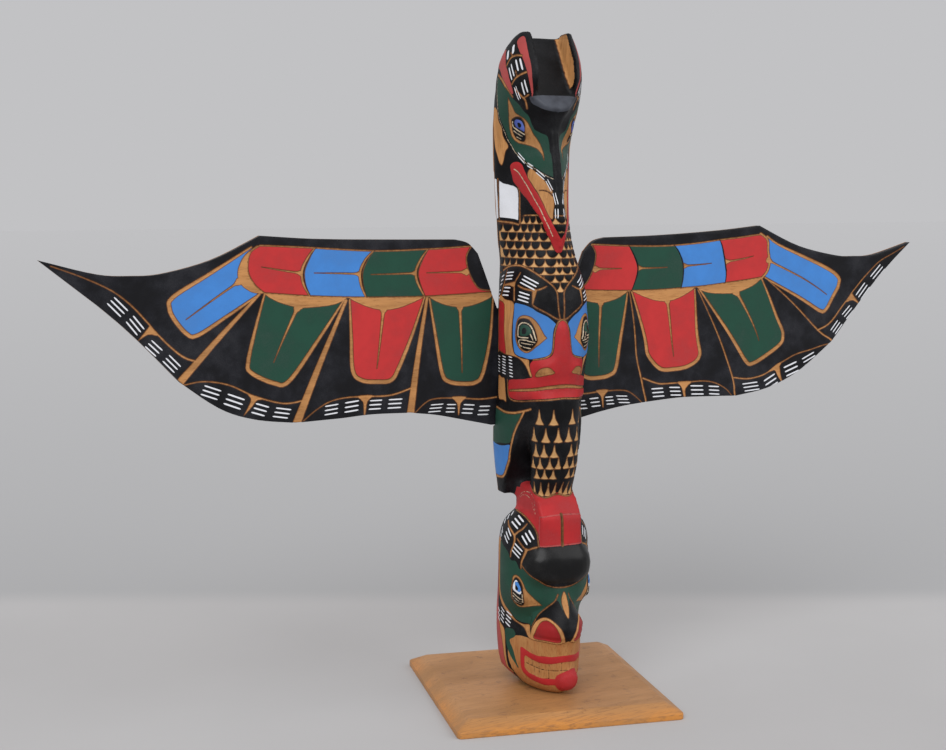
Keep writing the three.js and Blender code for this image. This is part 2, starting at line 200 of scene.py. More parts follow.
LOBE_EDGE = [
    (112, 583), (102, 586.5), (92, 589), (78, 590.5), (68, 590.8), (58, 589.8), (48.5, 587),
    (41, 584), (34, 580.5), (26.5, 576), (19.5, 571.5), (13.5, 567), (8.5, 562), (5.4, 556.5),
    (4.7, 549), (4.4, 540), (3.8, 530), (2.5, 523)
]
LOBE_DARK = [
    (112, 583), (92, 589), (78, 590), (60, 589.5), (47, 586.5), (33, 580), (19.5, 571.5),
    (9, 562.5), (5, 555), (4.4, 540), (3, 530), (2, 522), (14, 527), (24.5, 532.5), (38, 540),
    (64, 544), (84, 544), (110, 545)
]
LOBE_STEM = [
    (60.5, 581.5), (63, 577), (66.5, 572), (68, 567.5), (67.5, 562.5), (66, 556), (64.5, 546)
]
LOBE_STEM_BRANCH = [(67.5, 570), (76, 568.5), (92, 565.5), (92, 563.5), (78, 564.5), (68, 563)]
LOBE_BACK_STEM = [(96, 584), (94.5, 575), (94.5, 560), (94, 546)]
LOBE_FORK = [
    ([(61, 565), (50, 561), (37, 559)], 2.0, 2.6),
    ([(37, 559), (28, 561), (20, 564.5)], 2.6, 1.6),
    ([(36, 558.5), (37, 550), (38.3, 541)], 6.0, 1.4),
]
LOBE_DASHES = [
    ((95, 580), (73, 582), (93, 571.5), (76, 573), 3),
    ((90, 561), (75, 561.5), (91, 551.5), (75, 551.5), 3),
    ((54, 578), (30.5, 567.5), (58.5, 569), (36, 560.2), 3),
    ((58, 557), (42, 553), (59, 547.5), (43.5, 543.5), 3),
    ((112, 574), (102, 577), (112, 563), (101, 566), 3),
    ((111, 556), (100, 557), (110, 546), (99, 547), 3),
]
FOREHEAD_LINE = [
    (37.5, 540), (31.5, 536), (24.5, 532.5), (19, 529.5), (14, 526.5), (8.5, 523), (2.5, 521.5),
    (-3, 521)
]


CHEEK_RED = [
    (103, 541), (92, 543), (84.5, 539), (83, 528), (82, 510), (80, 490), (79, 475), (88, 476),
    (100, 478), (104, 482), (104, 520)
]
CHEEK_TAN = [
    (104, 546), (80, 546), (66, 543), (65, 531), (66, 515), (66, 495), (65, 484), (62.5, 475.5),
    (55, 471.5), (49, 470), (43, 468.5), (42.5, 461), (41, 454), (38.5, 445.5), (41.5, 446),
    (45.5, 456), (49.5, 463), (54.5, 468.5), (60, 471.5), (69, 473), (80, 474), (100, 477),
    (106, 478)
]
FACE_BLUE = [
    (63.5, 541.5), (57, 541.5), (49, 540), (43, 538), (38, 535.5), (33.5, 532.5), (27, 529),
    (20.5, 526), (15.5, 522.5), (11, 518.5), (8.5, 516), (11, 510), (12.5, 500.5), (13, 490),
    (14, 481), (16, 476.5), (21, 473.5), (28, 472), (36, 470), (44, 470), (49, 471.5), (55, 472.8),
    (59, 474.5), (62.5, 477), (63.5, 484), (64, 495), (64.5, 515), (64, 531)
]
FACE_SOCKET = [
    (59.5, 517), (56.5, 523.5), (51, 526.5), (44, 526), (37.5, 523), (32.5, 518), (28.5, 512),
    (25.5, 506.5), (22.8, 501.5), (19.5, 497.5), (19.5, 497.5), (25, 493), (28, 490), (33, 486),
    (36.5, 483), (40, 480), (45, 477.8), (51, 479.5), (56, 484.5), (59, 491), (60.5, 500)
]
FACE_EYE = [
    (58, 518), (56, 521.5), (50, 523), (43, 521.5), (39, 517), (35.5, 511), (33, 504), (31.5, 498),
    (31.5, 493), (34, 488.5), (37, 485), (40, 482), (45, 480), (50, 481.5), (54.5, 486),
    (57.5, 492), (59, 500), (59.3, 510)
]
FACE_IRIS = [
    (53.5, 513), (50, 515), (44, 513.5), (40, 509.5), (38.6, 505), (41, 502), (44.5, 500.5),
    (49, 500.3), (53.6, 501.2), (54.2, 507)
]
FACE_PUPIL = [(51, 507), (49, 511), (46.5, 510.5), (44.6, 507), (46, 502.8), (49.4, 502.5)]
FACE_EYE_BARS = [
    ([(56.3, 500), (56.6, 507), (55.6, 513.5), (51, 517.2), (44, 516), (39, 511.5),
      (36, 505), (34, 498.5), (33, 494.5)], 1.615),
    ([(56.3, 499), (50, 498.2), (42, 498)], 1.445),
    ([(40, 503), (37.5, 497.5), (36, 494)], 1.36),
    ([(54.3, 487.8), (55.4, 493), (52, 495.2), (44, 494.2), (34.5, 491.6)], 1.53),
    ([(54, 487.3), (48, 485.2), (40, 483.6)], 1.445),
    ([(51.5, 491), (44, 489.8), (37, 488.6)], 1.275),
]
NOSE_RED = [
    (-8, 520), (0, 520), (4.5, 517.5), (7.5, 511), (9.8, 500), (10.6, 490), (11.3, 483),
    (12.6, 477), (16, 473), (21, 470.5), (28, 469), (36, 467.8), (39.7, 466), (41.5, 461),
    (41.3, 455), (38.8, 447), (36, 442), (-8, 442)
]
NOSE_RIM = [
    (0, 521.5), (5.2, 518.5), (8.6, 511), (11, 500), (11.8, 490), (12.5, 483), (14, 477.8),
    (17, 474.3), (21.5, 471.9), (28, 470.3), (37, 469)
]
NOSTRIL = [
    (34.5, 447.5), (33, 451.5), (29.5, 456), (25.5, 458.5), (21, 459.5), (17, 459), (13.5, 456),
    (10.5, 452.5), (10.5, 452.5), (13.5, 450.5), (21, 449), (28, 447), (34.5, 446)
]
EAR_DASHES = [
    ((73, 471.5), (67.5, 470.5), (75.5, 445.5), (68, 444.5), 7),
    ((87.5, 471), (79, 470), (91.5, 448.5), (82.5, 447), 7),
    ((104, 470), (96, 469), (110, 449), (98, 448.5), 6),
]
JAW_TAN = [
    (107, 442), (92, 441.5), (86.5, 441), (86, 425), (85.8, 410), (92, 411.5), (107, 414)
]
UPPER_LIP = [
    (78.5, 433), (77.5, 438), (74, 440.5), (60, 442), (50, 443), (43, 444.5), (28, 446), (18, 448),
    (5, 450), (-6, 450), (-6, 436), (5, 436), (18, 434.5), (28, 432.5), (40, 431), (54, 429.5),
    (66, 427.5), (72, 425), (78.5, 424.5)
]
LOWER_LIP = [
    (78.5, 431), (73, 426), (66, 425.5), (54, 426), (40, 427.5), (28, 429), (18, 430.5),
    (5, 431.5), (-6, 431.5), (-6, 420.5), (5, 420), (20, 418.5), (36, 416.8), (54, 415),
    (66, 414.5), (74, 416), (78.5, 419)
]
LIP_GAP = [
    (76, 425.5), (70, 426.5), (54, 428), (40, 429.2), (28, 430.8), (18, 432.4), (5, 433.8),
    (-6, 433.8)
]
LIP_RIM = [
    (80, 440), (80.5, 425), (79, 417), (72, 413), (60, 412.6), (50, 413), (36, 415), (20, 416.8),
    (5, 418.4), (-6, 418.8)
]

THIGH_LINE = [
    (122, 400), (105, 398.5), (94, 396.5), (83.5, 395.5), (69.5, 396.3), (58.5, 398.5),
    (50, 400.5), (42, 403)
]
THIGH_GREEN = [
    (146, 397), (106, 396.5), (94, 394.5), (83.5, 393.5), (69.5, 394.3), (58, 396.5), (56, 394),
    (61, 386), (67.5, 377.5), (73, 367.5), (76, 358), (84, 354), (100, 352.5), (146, 351)
]
THIGH_BLUE = [
    (146, 348), (104, 348.5), (79.5, 352), (82, 345), (86.5, 331.5), (92, 322.5), (97.5, 314.5),
    (102.5, 309), (110, 305.5), (124, 304.5), (146, 304)
]
THIGH_EDGE = [
    (53, 399), (59, 388), (65.5, 377.5), (71.5, 366.5), (75.5, 356), (79.5, 345), (85, 331),
    (90.5, 322), (96, 314), (101.5, 308), (109, 304.5), (122, 303.5), (144, 303)
]
BELLY_ROWS = [
    (384, 20, [29, 12, -10], 5.9), (361, 19, [37, 21, 6.5], 5.9), (341, 17, [34, 23, 11], 5.7),
    (325, 15, [39, 28, 16, 5.5], 5.4), (311, 14, [33, 22, 11], 5.4),
    (287, 19, [38, 27, 16, 5.5], 5.3),
]
BELLY_GROOVE = [(0, 352), (0, 330), (0, 296)]

LEG_RED = [
    (119, 279.5), (98, 279.5), (96, 300), (60, 300), (47, 299), (42, 293.5), (36, 289),
    (27, 286.5), (20, 284.5), (12, 285.5), (5, 287.5), (-6, 288), (-6, 222.5), (-6, 222.5),
    (14, 222.5), (28.5, 222.5), (28.5, 222.5), (29.5, 231), (30.5, 240), (35.5, 247.5), (43, 253),
    (55, 257.5), (75, 260), (110, 260.5), (119, 261)
]
LEG_SCALLOPS = [
    (44, 296), (40, 291.5), (36, 289.5), (27, 286.5), (20, 284.8), (12, 285.8), (5, 287.7),
    (-4, 288)
]
LEG_GROOVE = [(0, 264), (0, 223)]
FOOT_BORDER = [
    (100, 260.5), (75, 260), (62, 259), (52, 257), (43, 253), (36, 247.5), (31.3, 240.5),
    (29.6, 231), (28.5, 222.5)
]
# Painted highlights: pale rose lines along the foot block's lit edges
FOOT_EDGE_HIGHLIGHTS = [
    [(28.2, 262), (28.2, 250), (28.4, 238), (28.6, 224)],
    [(28, 262), (14, 263), (0, 263.5), (-5, 263.5)],
    [(29, 223.2), (14, 223.2), (-4, 223.2)],
]
FOOT_CURLS = [
    [(108, 272), (100, 279), (88, 284), (72, 287.5), (56, 289), (46, 288.5), (40, 284),
     (36.8, 276), (35.5, 268), (34.5, 262)],
    [(98, 277), (84, 281.5), (68, 283.5), (54, 283), (45, 279.5), (40, 273), (37.5, 266)],
]

CROWN_BRANCHES = [
    ([(88, 248), (80, 244), (72, 240), (66, 236.5), (62, 233)], 2.4, 3.0),
    ([(62, 234), (61, 227), (62.5, 220), (66, 212), (67, 204)], 3.6, 1.8),
    ([(62, 234), (57, 239), (51, 243.5), (46, 250)], 3.2, 1.8),
    ([(57, 230), (51, 223.5), (46, 218.5), (42, 217), (36.5, 219.5), (31, 221.5)], 1.8, 2.4),
    ([(43.5, 217), (46, 209), (48.5, 203), (50, 196), (50, 189)], 4.2, 1.8),
]
CROWN_DASHES = [
    ((72, 257), (52, 251.5), (76, 249), (59, 242.5), 3),
    ((42, 242), (34.5, 232), (51, 235.5), (42.5, 223), 3),
    ((78, 240.5), (68, 231.5), (84, 230), (72.5, 221), 3),
    ((60.5, 224), (48.5, 214), (64.5, 214), (52.5, 205), 3),
    ((104, 258), (92, 254), (108, 248), (96, 243), 3),
    ((100, 238), (91, 231), (104, 228), (94, 221), 3),
]
LOWER_GREEN = [
    (94, 219), (84, 216), (72, 210), (66, 200), (58, 200), (52, 190), (48, 192), (42, 187.5),
    (35.5, 182), (29, 177.5), (22.5, 171.5), (17, 168.5), (8.5, 166), (-6, 165.5), (-6, 128),
    (0.5, 128), (4, 140), (7, 150), (10.5, 148.5), (15, 143.5), (20, 138.5), (24, 134.5),
    (28, 131), (32, 126), (36, 119), (39, 112.5), (43, 112), (52, 112.5), (58, 113), (65, 115),
    (70, 118), (76, 126.5), (82, 134), (88, 142), (93, 151), (95, 160), (95, 190)
]
LOWER_GREEN_LINE = [
    (49, 196), (42.5, 189.5), (35.5, 183.5), (29, 179), (22.5, 173), (17, 170), (8.5, 167.5),
    (-4, 167)
]
LOWER_STRIP = [
    (110, 222), (97, 224), (96, 215), (96.5, 200), (96.5, 175), (96, 160), (94, 150), (88.5, 141),
    (82, 132.5), (76, 124.5), (70, 116), (64, 112.5), (56, 110.5), (50, 111), (43, 110.5),
    (40.5, 104), (40, 94), (44, 96.5), (50, 102), (57, 107), (63, 110), (72, 114), (80, 121),
    (86, 128), (93, 136), (99, 146), (102, 158), (103, 175), (104, 200), (112, 216)
]
SIDE_ROSE = [
    (124, 226), (107, 224), (104.5, 205), (104, 180), (103.5, 158), (101, 148), (103.5, 136),
    (103, 120), (100.5, 104), (98, 90), (96, 76), (94, 62), (92.5, 48), (91.5, 36), (124, 34)
]
LOWER_SOCKET = [
    (63.5, 172), (62.5, 178), (59, 181), (54, 180), (49.5, 175.5), (46, 168), (43.5, 162),
    (38.5, 156), (33, 150), (29.5, 146.5), (24.5, 141.5), (24.5, 141.5), (35, 140), (43, 138),
    (49.5, 136.5), (55, 136), (59.5, 138), (62.5, 144), (63.8, 154), (64, 163)
]
LOWER_EYE = [
    (62, 172), (60, 176.5), (56.5, 178), (52.5, 175), (49, 169), (47.5, 161), (46.8, 152),
    (47.5, 144), (50, 139.5), (54, 138), (58.5, 140), (61.5, 146), (62.5, 156), (62.7, 165)
]
LOWER_WHITE = [
    (60.5, 171), (57, 174.5), (53.5, 171), (50.5, 165), (49, 158), (51, 156), (56, 158.5),
    (60.5, 161), (61.5, 165)
]
LOWER_IRIS = [
    (58, 172.5), (54.5, 172), (51.3, 166.5), (49.6, 162), (51.2, 159), (54, 160), (56.5, 164),
    (58, 168.5)
]
LOWER_PUPIL = [
    (57.6, 167), (55.6, 167.8), (53.4, 164.8), (53.2, 161.8), (55.2, 160.6), (57.2, 162.6)
]
LOWER_EYE_BARS = [
    ([(61, 157), (55.5, 153), (49.5, 149)], 1.4),
    ([(61, 153), (55.5, 148.5), (50, 144.5)], 1.3),
    ([(60.6, 148), (56, 144), (51.5, 141.5)], 1.3),
    ([(48.4, 157), (48.2, 150), (49, 144)], 1.2),
]
NOSE_LENS = [
    (-2.4, 157), (0, 162), (2.4, 157), (3.6, 150), (3.4, 143), (2.2, 135), (0, 128.5), (-2.2, 135),
    (-3.4, 146)
]
NOSE_SIDE_LINE = [
    (6.5, 158), (9.5, 150), (13, 145.5), (18.5, 139.5), (24, 134), (28.5, 129.5), (32, 124),
    (35.5, 117.5), (38, 111)
]
NOSTRIL_RIM = [
    (40.5, 95), (39.5, 102.5), (36.5, 112), (31.5, 120.5), (25.5, 125.5), (20.5, 127.5),
    (16, 126.5), (12, 123), (8.5, 118), (6.5, 113), (4.8, 106.5), (3, 98.5), (1.5, 93.5), (10, 93),
    (19.5, 94.5), (31.5, 94.5)
]
NOSTRIL_RED = [
    (34.5, 97), (32.5, 106), (29, 115.5), (25, 121.5), (20, 124.2), (16, 123), (12.6, 119),
    (9.8, 112), (8, 105), (6.6, 98.5), (9, 95.5), (20, 97)
]
# Darker bare wood over the muzzle: partly the wood's own browner tone, partly painted shade
MUZZLE_WOOD_AND_SHADE = [
    (84, 84), (79, 87), (74, 90.5), (70, 93), (57, 95), (42, 95), (31, 94), (20, 94.5), (10, 93),
    (-6, 92), (-6, 19), (60, 19), (72, 30), (78, 45), (84, 62)
]
TEMPLE_DASHES = [
    ((82.5, 125.5), (75, 119.5), (88, 109), (79.5, 104), 4),
    ((94, 129), (87.5, 122.5), (98, 112), (91, 107), 4),
    ((105, 126), (99, 120), (107, 112), (101, 107), 3),
]
TEMPLE_TAN = [
    (104, 108), (99, 105), (92, 100), (90, 90), (89.5, 75), (88, 60), (86, 48), (80, 40), (84, 38),
    (90, 48), (93, 60), (95, 72), (98, 85), (102, 98)
]
TEMPLE_ROSE = [
    (124, 116), (112, 113), (105, 106), (102, 96), (98, 84), (95, 72), (93, 60), (90, 48),
    (86, 38), (92, 30), (124, 30)
]
JAW_GREEN = [
    (89.5, 96), (87, 100.5), (79.5, 101.5), (74, 101), (70, 95.5), (71.5, 91), (79, 87), (81, 85),
    (79, 80), (75.5, 75), (72.5, 69.5), (70, 63), (67, 56), (61, 47), (64, 47.5), (70.5, 54.5),
    (76.5, 60), (82, 67), (86.5, 76), (88.5, 86)
]
MUZZLE_RED = [
    (57.5, 80.5), (54, 80.5), (50.5, 79.8), (42, 76.5), (34.5, 74.5), (28.5, 73.5), (19.5, 74.5),
    (13.5, 74.5), (7.5, 76), (-6, 76.5), (-6, 67), (1, 67.3), (7, 66.3), (13, 64.5), (19.5, 63.5),
    (27, 63.8), (33, 65), (39.5, 66.8), (44, 68.5), (48, 70), (50, 68), (50.2, 60), (50, 53),
    (47, 49.5), (42, 46.8), (35, 45), (30, 43.2), (22.5, 42.3), (15.5, 43), (9.8, 43), (-6, 44),
    (-6, 34.5), (6, 34.5), (12.5, 33.5), (19.5, 32.5), (27, 33.8), (35, 36), (42.5, 38.5),
    (50, 42.5), (55.5, 47), (58, 54), (58, 68)
]
TOOTH_LINES = [
    ([(47, 60), (36, 57), (24, 54.5), (12, 54.5), (0, 56)], 0.9),
    ([(38, 66.5), (38, 57.5)], 0.75),
    ([(28, 64), (28, 55.5), (27, 47)], 0.75),
    ([(16.5, 64), (16.5, 54), (16, 43)], 0.75),
    ([(4, 66), (4, 56)], 0.75),
    ([(35, 57), (34, 46.5)], 0.75),
]
TONGUE_PLACE = (6, -81, 41)
TONGUE_HALF = (17, 13, 17)
TONGUE_BACK_Y = -69
CHIN_WOOD = [
    (-6, 24), (10, 29), (20, 30), (30, 31.5), (42, 36), (54, 44), (62, 50), (66, 44), (60, 19),
    (-6, 19)
]


# Outlines on the wings: (distance out from the pole's middle, height above the board's underside)

ROW_TOP = [(376, 620), (322, 617), (227, 611), (153, 612), (89, 615)]
ROW_FOOT = [(371, 560), (316, 555), (239, 551), (153, 550), (62, 553)]
ROW_END = [(376, 620), (388, 612), (392, 598), (391, 584), (383, 570), (371, 560)]
ROW_BARS = [
    [(304.5, 616), (313, 604), (321, 587), (319.5, 570), (312.5, 555)],
    [(226, 611), (236, 600), (243.5, 584), (242.5, 567), (237, 551)],
    [(151, 612), (160, 599), (167, 583), (164.5, 568), (156, 550)],
]
ROW_PAINTS = ("red", "blue", "green", "red")
ROW_STEMS = [
    [(374.5, 593), (344, 587.5), (322, 584)],
    [(306, 584), (275, 583), (244, 581.5)],
    [(230, 580.5), (200, 580.5), (167, 581)],
    [(153, 581), (125, 581), (97, 581)],
]
LONG_STEM = [(471, 530), (436, 554), (404, 575)]
LOWER_STEMS = [
    [(361, 472), (347, 503), (328, 542)],
    [(223, 458), (218, 495), (213, 537)],
    [(103, 447), (104, 490), (106, 537)],
]
ROOT_LENS = [(88, 616), (96, 601), (92, 580), (79, 559), (60, 557), (52, 580), (66, 606)]
ROOT_LENS_EDGE = [(89, 615), (96.5, 601), (92.5, 580), (80, 560), (66, 556), (56, 556)]
OUTER_CRESCENT = [
    (376, 620), (380, 620), (395, 608.5), (403, 595), (405, 582), (400, 570.5), (388, 562),
    (376, 559.5), (371, 560)
]
LONG_FEATHER_RIM = [
    (387, 618), (440, 586), (486, 558.5), (491, 545), (485, 530), (470, 512), (457, 510),
    (418, 533.5), (377, 559.5)
]
SPARS = [
    ([(378, 559), (430, 506), (479.5, 453.5)], 3.4, 9.5),
    ([(264, 548), (299, 470), (331.5, 393.5)], 4.0, 11.0),
    ([(152.5, 548), (166, 470), (176.5, 397)], 4.0, 10.5),
]
LOWER_FEATHERS = [
    ("green", [(371, 559), (383, 518), (393.5, 476), (391, 461), (361, 445.5), (341, 447.5),
               (303, 497), (267, 548)]),
    ("red", [(259, 549), (257.5, 500), (256, 457), (244, 443.5), (223, 440.5), (203, 442),
             (191.5, 460), (173, 502), (156, 549)]),
    ("green", [(149, 547), (140, 493), (131.5, 447), (122, 436), (103, 432), (83, 433),
               (73, 445), (62.5, 491), (58, 547)]),
]
LOWER_CRESCENTS = [
    [(374, 561), (368, 556.5), (354, 548.5), (332, 541.5), (318, 540), (287, 542),
     (270, 546.5), (260, 553), (260, 553), (316, 556), (374, 561)],
    [(260, 552), (255.5, 548), (234, 538.5), (213, 534), (190, 536.5), (165, 545.5),
     (153, 551), (153, 551), (200, 551.5), (260, 552)],
    [(152, 551), (143, 545), (128, 538.5), (105, 534.5), (82, 538), (62, 546), (54, 553),
     (54, 553), (100, 552), (152, 551)],
]
EDGE_LINES = [
    ([(631, 599), (597, 586), (562, 569), (539, 551), (520, 530), (508, 515), (490, 496),
      (474, 483), (457, 477)], 0.9, 2.6),
    ([(475, 449), (450, 452), (419, 446), (386, 430), (349, 419), (322, 421.5)], 1.4, 2.2),
    ([(323, 395), (306, 408), (287, 418), (265, 422), (238, 422), (204, 422), (175, 430)],
     1.0, 2.4),
    ([(171, 396), (156, 409), (141, 414), (108, 413), (77, 410), (52, 411.5)], 1.0, 2.2),
]
EDGE_TEES = [
    [(516, 524), (519, 520), (529, 508), (530.5, 506), (518, 513), (510, 512), (505, 511)],
    [(396, 434), (391, 427), (397, 413), (401, 406), (390, 417), (383, 425), (374, 426)],
    [(250, 423), (242.5, 415), (241.5, 398), (239.5, 398), (236.5, 415), (229, 423)],
    [(118, 415), (110.5, 406), (109, 390), (107.5, 390), (105, 406), (97, 414)],
]
WING_DASHES = [
    ((566, 553), (550, 536), (557.5, 560), (541.5, 543), 3),
    ((544, 530), (531, 513), (535.5, 537), (522.5, 520), 3),
    ((522, 499), (509, 486), (514, 506), (501, 493), 3),
    ((501, 480), (487, 465), (493, 487), (479, 472), 3),
    ((450, 447), (429, 439), (455, 436.5), (434, 428.5), 3),
    ((421, 435), (399, 426), (426, 423), (405, 415), 3),
    ((385, 421), (368, 415), (391, 410), (374, 404.5), 3),
    ((359, 414), (339, 410), (363.5, 403), (343.5, 400), 3),
    ((294, 412), (276, 414), (295, 401), (277, 403), 3),
    ((267, 415), (248, 417), (268, 403), (249, 405), 3),
    ((233, 416), (216, 416), (235, 405), (218, 405), 3),
    ((207, 416), (188, 416), (209, 405), (190, 405), 3),
    ((148, 406), (130, 406), (152, 396.5), (134, 397), 3),
    ((125, 405), (112, 404.5), (127, 395.5), (114, 394.5), 3),
    ((101, 404), (85, 402), (104, 392.5), (88, 391.5), 3),
    ((78, 400), (62, 399.5), (81, 389), (65, 388.5), 3),
]
WING_DRIFT = [
    (645, 606, -16, 5), (375, 632, -14, 6), (480, 452, 11, 14), (333, 393, -7, 0),
    (177, 397, 1, -5), (61, 374, 6, 0), (92, 618, 0, 0), (62, 558, 0, 0),
    (392, 598, -17, 4), (321, 587, -18, 3), (244, 584, -9, 1), (167, 583, -5, 0),
    (554, 548, 21, 21), (532, 525, 12, 15), (518, 520, 9, 13), (512, 496, 6, 13),
    (440, 438, 11, 2), (391, 427, 9, 6), (378, 412, 6, -6), (285, 407, 4, -5),
    (258, 409, 5, -5), (240, 412, -1, -7), (197, 410, -3, -7), (489, 550, 10, 6),
    (465, 511, 10, 2), (361, 445, -6, -6), (393, 476, 11, 5), (256, 457, 8, -2),
    (191, 460, -12, -1), (223, 440, -3, -4),
]


# Curves and distances

def spline(points, closed, step):
    """Points along a smooth curve through the outline. A point given twice is a corner."""
    points = [np.array(point, float) for point in points]
    count = len(points)
    spans = count if closed else count - 1
    found = []
    for i in range(spans):
        p1 = points[i]
        p2 = points[(i + 1) % count]
        if np.allclose(p1, p2):
            continue
        p0 = points[(i - 1) % count] if closed or i > 0 else p1
        p3 = points[(i + 2) % count] if closed or i + 2 < count else p2
        pieces = max(1, int(round(np.linalg.norm(p2 - p1) / step)))
        t = np.arange(pieces)[:, None] / pieces
        found.append(p1 + 0.5 * t * (p2 - p0)
                     + t ** 2 * (p0 - 2.5 * p1 + 2 * p2 - 0.5 * p3)
                     + t ** 3 * (-0.5 * p0 + 1.5 * p1 - 1.5 * p2 + 0.5 * p3))
    if not closed:
        found.append(points[-1][None])
    return np.concatenate(found)


def path_distance(places, path, closed, widths=None):
    """Distance from each place to the path, less the path's own half width there."""
    ends = np.roll(path, -1, axis=0) if closed else path[1:]
    starts = path if closed else path[:-1]
    best = np.full(len(places), 1e9)
    for i, (a, b) in enumerate(zip(starts, ends)):
        along = b - a
        length = along @ along
        t = np.clip((places - a) @ along / max(length, 1e-9), 0, 1)
        gap = np.linalg.norm(places - a - t[:, None] * along, axis=1)
        if widths is not None:
            gap = gap - (widths[i] + (widths[i + 1] - widths[i]) * t)
        best = np.minimum(best, gap)
    return best


def inside(places, path):
    """True where the even-odd rule puts a flat place inside the closed path."""
    found = np.zeros(len(places), bool)
    x, y = places[:, 0], places[:, 1]
    for (ax, ay), (bx, by) in zip(path, np.roll(path, -1, axis=0)):
        if ay == by:
            continue
        crosses = (ay > y) != (by > y)
        found ^= crosses & (x < (bx - ax) * (y - ay) / (by - ay) + ax)
    return found


def smooth(value, low, high):
    """0 below low, 1 above high and an even rise between."""
    t = np.clip((value - low) / (high - low), 0, 1)
    return t * t * (3 - 2 * t)


def unmoved(points):
    return points


class Canvas:
    """Paint laid in order on a set of places, each with a flat place in the artwork.

    Outlines are drawn in the artwork. drift moves them within it, and lift puts them in space.
    """

    def __init__(self, flat, solid, step, drift=unmoved, lift=unmoved):
        self.flat = flat
        self.solid = solid
        self.step = step
        self.drift = drift
        self.lift = lift
        count = len(flat)
        self.fields = {paint: np.full(count, -FAR) for paint in PAINTS}
        self.fields["black"] = np.full(count, FAR)
        self.height = np.zeros(count)
        self.dash_edge = np.full(count, -FAR)
        self.dash_phase = np.zeros(count)
        self.open = np.ones(count, bool)

    def near(self, path, reach):
        low = path.min(axis=0) - reach
        high = path.max(axis=0) + reach
        return np.nonzero(self.open & np.all((self.solid > low) & (self.solid < high), axis=1))[0]

    def lay(self, paint, chosen, depth, height, ease=1.0):
        """Lays paint where depth, in mm inside the shape's edge, is positive."""
        for name, field in self.fields.items():
            if name == paint:
                field[chosen] = np.maximum(field[chosen], depth)
            else:
                field[chosen] = np.minimum(field[chosen], -depth)
        weight = smooth(depth, -0.3 * ease, ease)
        self.height[chosen] += (height - self.height[chosen]) * weight

    def area(self, paint, outline, height=0.0, ease=1.0):
        path = self.drift(spline(outline, True, self.step))
        edge = self.lift(path)
        chosen = self.near(edge, AREA_REACH)
        depth = -path_distance(self.solid[chosen], edge, True)
        within = inside(self.flat[chosen], path)
        self.lay(paint, chosen, np.where(within, -depth, depth), height, ease)

    def line(self, paint, points, start, end=None, height=-0.8, ease=1.0, swell=0, flare=0):
        """A stroke of changing width: fuller in the middle, or splayed at its end."""
        end = start if end is None else end
        edge = self.lift(self.drift(spline(points, False, self.step)))
        chosen = self.near(edge, LINE_REACH + max(start, end) + swell + flare)
        run = np.concatenate([[0], np.cumsum(np.linalg.norm(np.diff(edge, axis=0), axis=1))])
        share = run / max(run[-1], 1e-9)
        splay = np.clip(1 - (run[-1] - run) / FLARE_RUN, 0, 1) ** 2
        widths = (start + (end - start) * share + swell * np.sin(np.pi * share)
                  + flare * splay) / 2
        self.lay(paint, chosen, -path_distance(self.solid[chosen], edge, False, widths),
                 height, ease)

    def dashes(self, group):
        """White strokes side by side: the first one's ends, the last one's and their number."""
        count = group[4] if len(group) > 4 else 2
        a, b, c, d = self.lift(self.drift(np.array(group[:4], float)))
        centre = (a + b + c + d) / 4
        along = (b - a + d - c) / 4
        across = (c + d - a - b) / 4
        chosen = self.near(np.array([a, b, c, d]), DASH_REACH)
        axes = np.stack([along, across], axis=1)
        uv = (self.solid[chosen] - centre) @ np.linalg.pinv(axes).T
        margin = 1 + 1 / (count - 1)
        edge = np.minimum((1 - np.abs(uv[:, 0])) * np.linalg.norm(along),
                          (margin - np.abs(uv[:, 1])) * np.linalg.norm(across))
        phase = (uv[:, 1] + 1) / 2 * (count - 1)
        better = edge > self.dash_edge[chosen]
        self.dash_edge[chosen[better]] = edge[better]
        self.dash_phase[chosen[better]] = phase[better]

    def edge_distance(self):
        """Distance from each place to the nearest change of colour or dash."""
        stack = np.abs(np.stack(list(self.fields.values()) + [self.dash_edge]))
        return stack.min(axis=0)


# Mesh helpers

def linked(name, mesh):
    piece = bpy.data.objects.new(name, mesh)
    bpy.context.scene.collection.objects.link(piece)
    return piece


def welded_copy(node):
    """The CAD node's own surface as one joined mesh, in place."""
    bm = bmesh.new()
    bm.from_mesh(node.data)
    bm.transform(node.matrix_world)
    bmesh.ops.remove_doubles(bm, verts=bm.verts, dist=CAD_WELD)
    return bm


def places_of(bm):
    return np.array([v.co for v in bm.verts]) / MM


def voxel_skin(bm, size):
    """Replaces the mesh by an even skin of small squares."""
    mesh = bpy.data.meshes.new("skin")
    bm.to_mesh(mesh)
    piece = linked("skin", mesh)
    remesh = piece.modifiers.new("Skin", "REMESH")
    remesh.mode = "VOXEL"
    remesh.voxel_size = size
    graph = bpy.context.evaluated_depsgraph_get()
    fresh = bpy.data.meshes.new_from_object(piece.evaluated_get(graph))
    bm.clear()
    bm.from_mesh(fresh)
    bpy.data.objects.remove(piece)
    bpy.data.meshes.remove(mesh)
    bpy.data.meshes.remove(fresh)


def soften(bm, rounds, limit):
    """Smooths the facets and lets no point move further than the limit, in mm."""
    before = places_of(bm)
    for _ in range(rounds):
        bmesh.ops.smooth_vert(bm, verts=bm.verts, factor=0.5, use_axis_x=True,
                              use_axis_y=True, use_axis_z=True)
    moved = places_of(bm) - before
    length = np.linalg.norm(moved, axis=1)
    share = np.minimum(1, limit / np.maximum(length, 1e-9))
    set_places(bm, before + moved * share[:, None])


def set_places(bm, places):
    for vert, place in zip(bm.verts, places * MM):
        vert.co = place


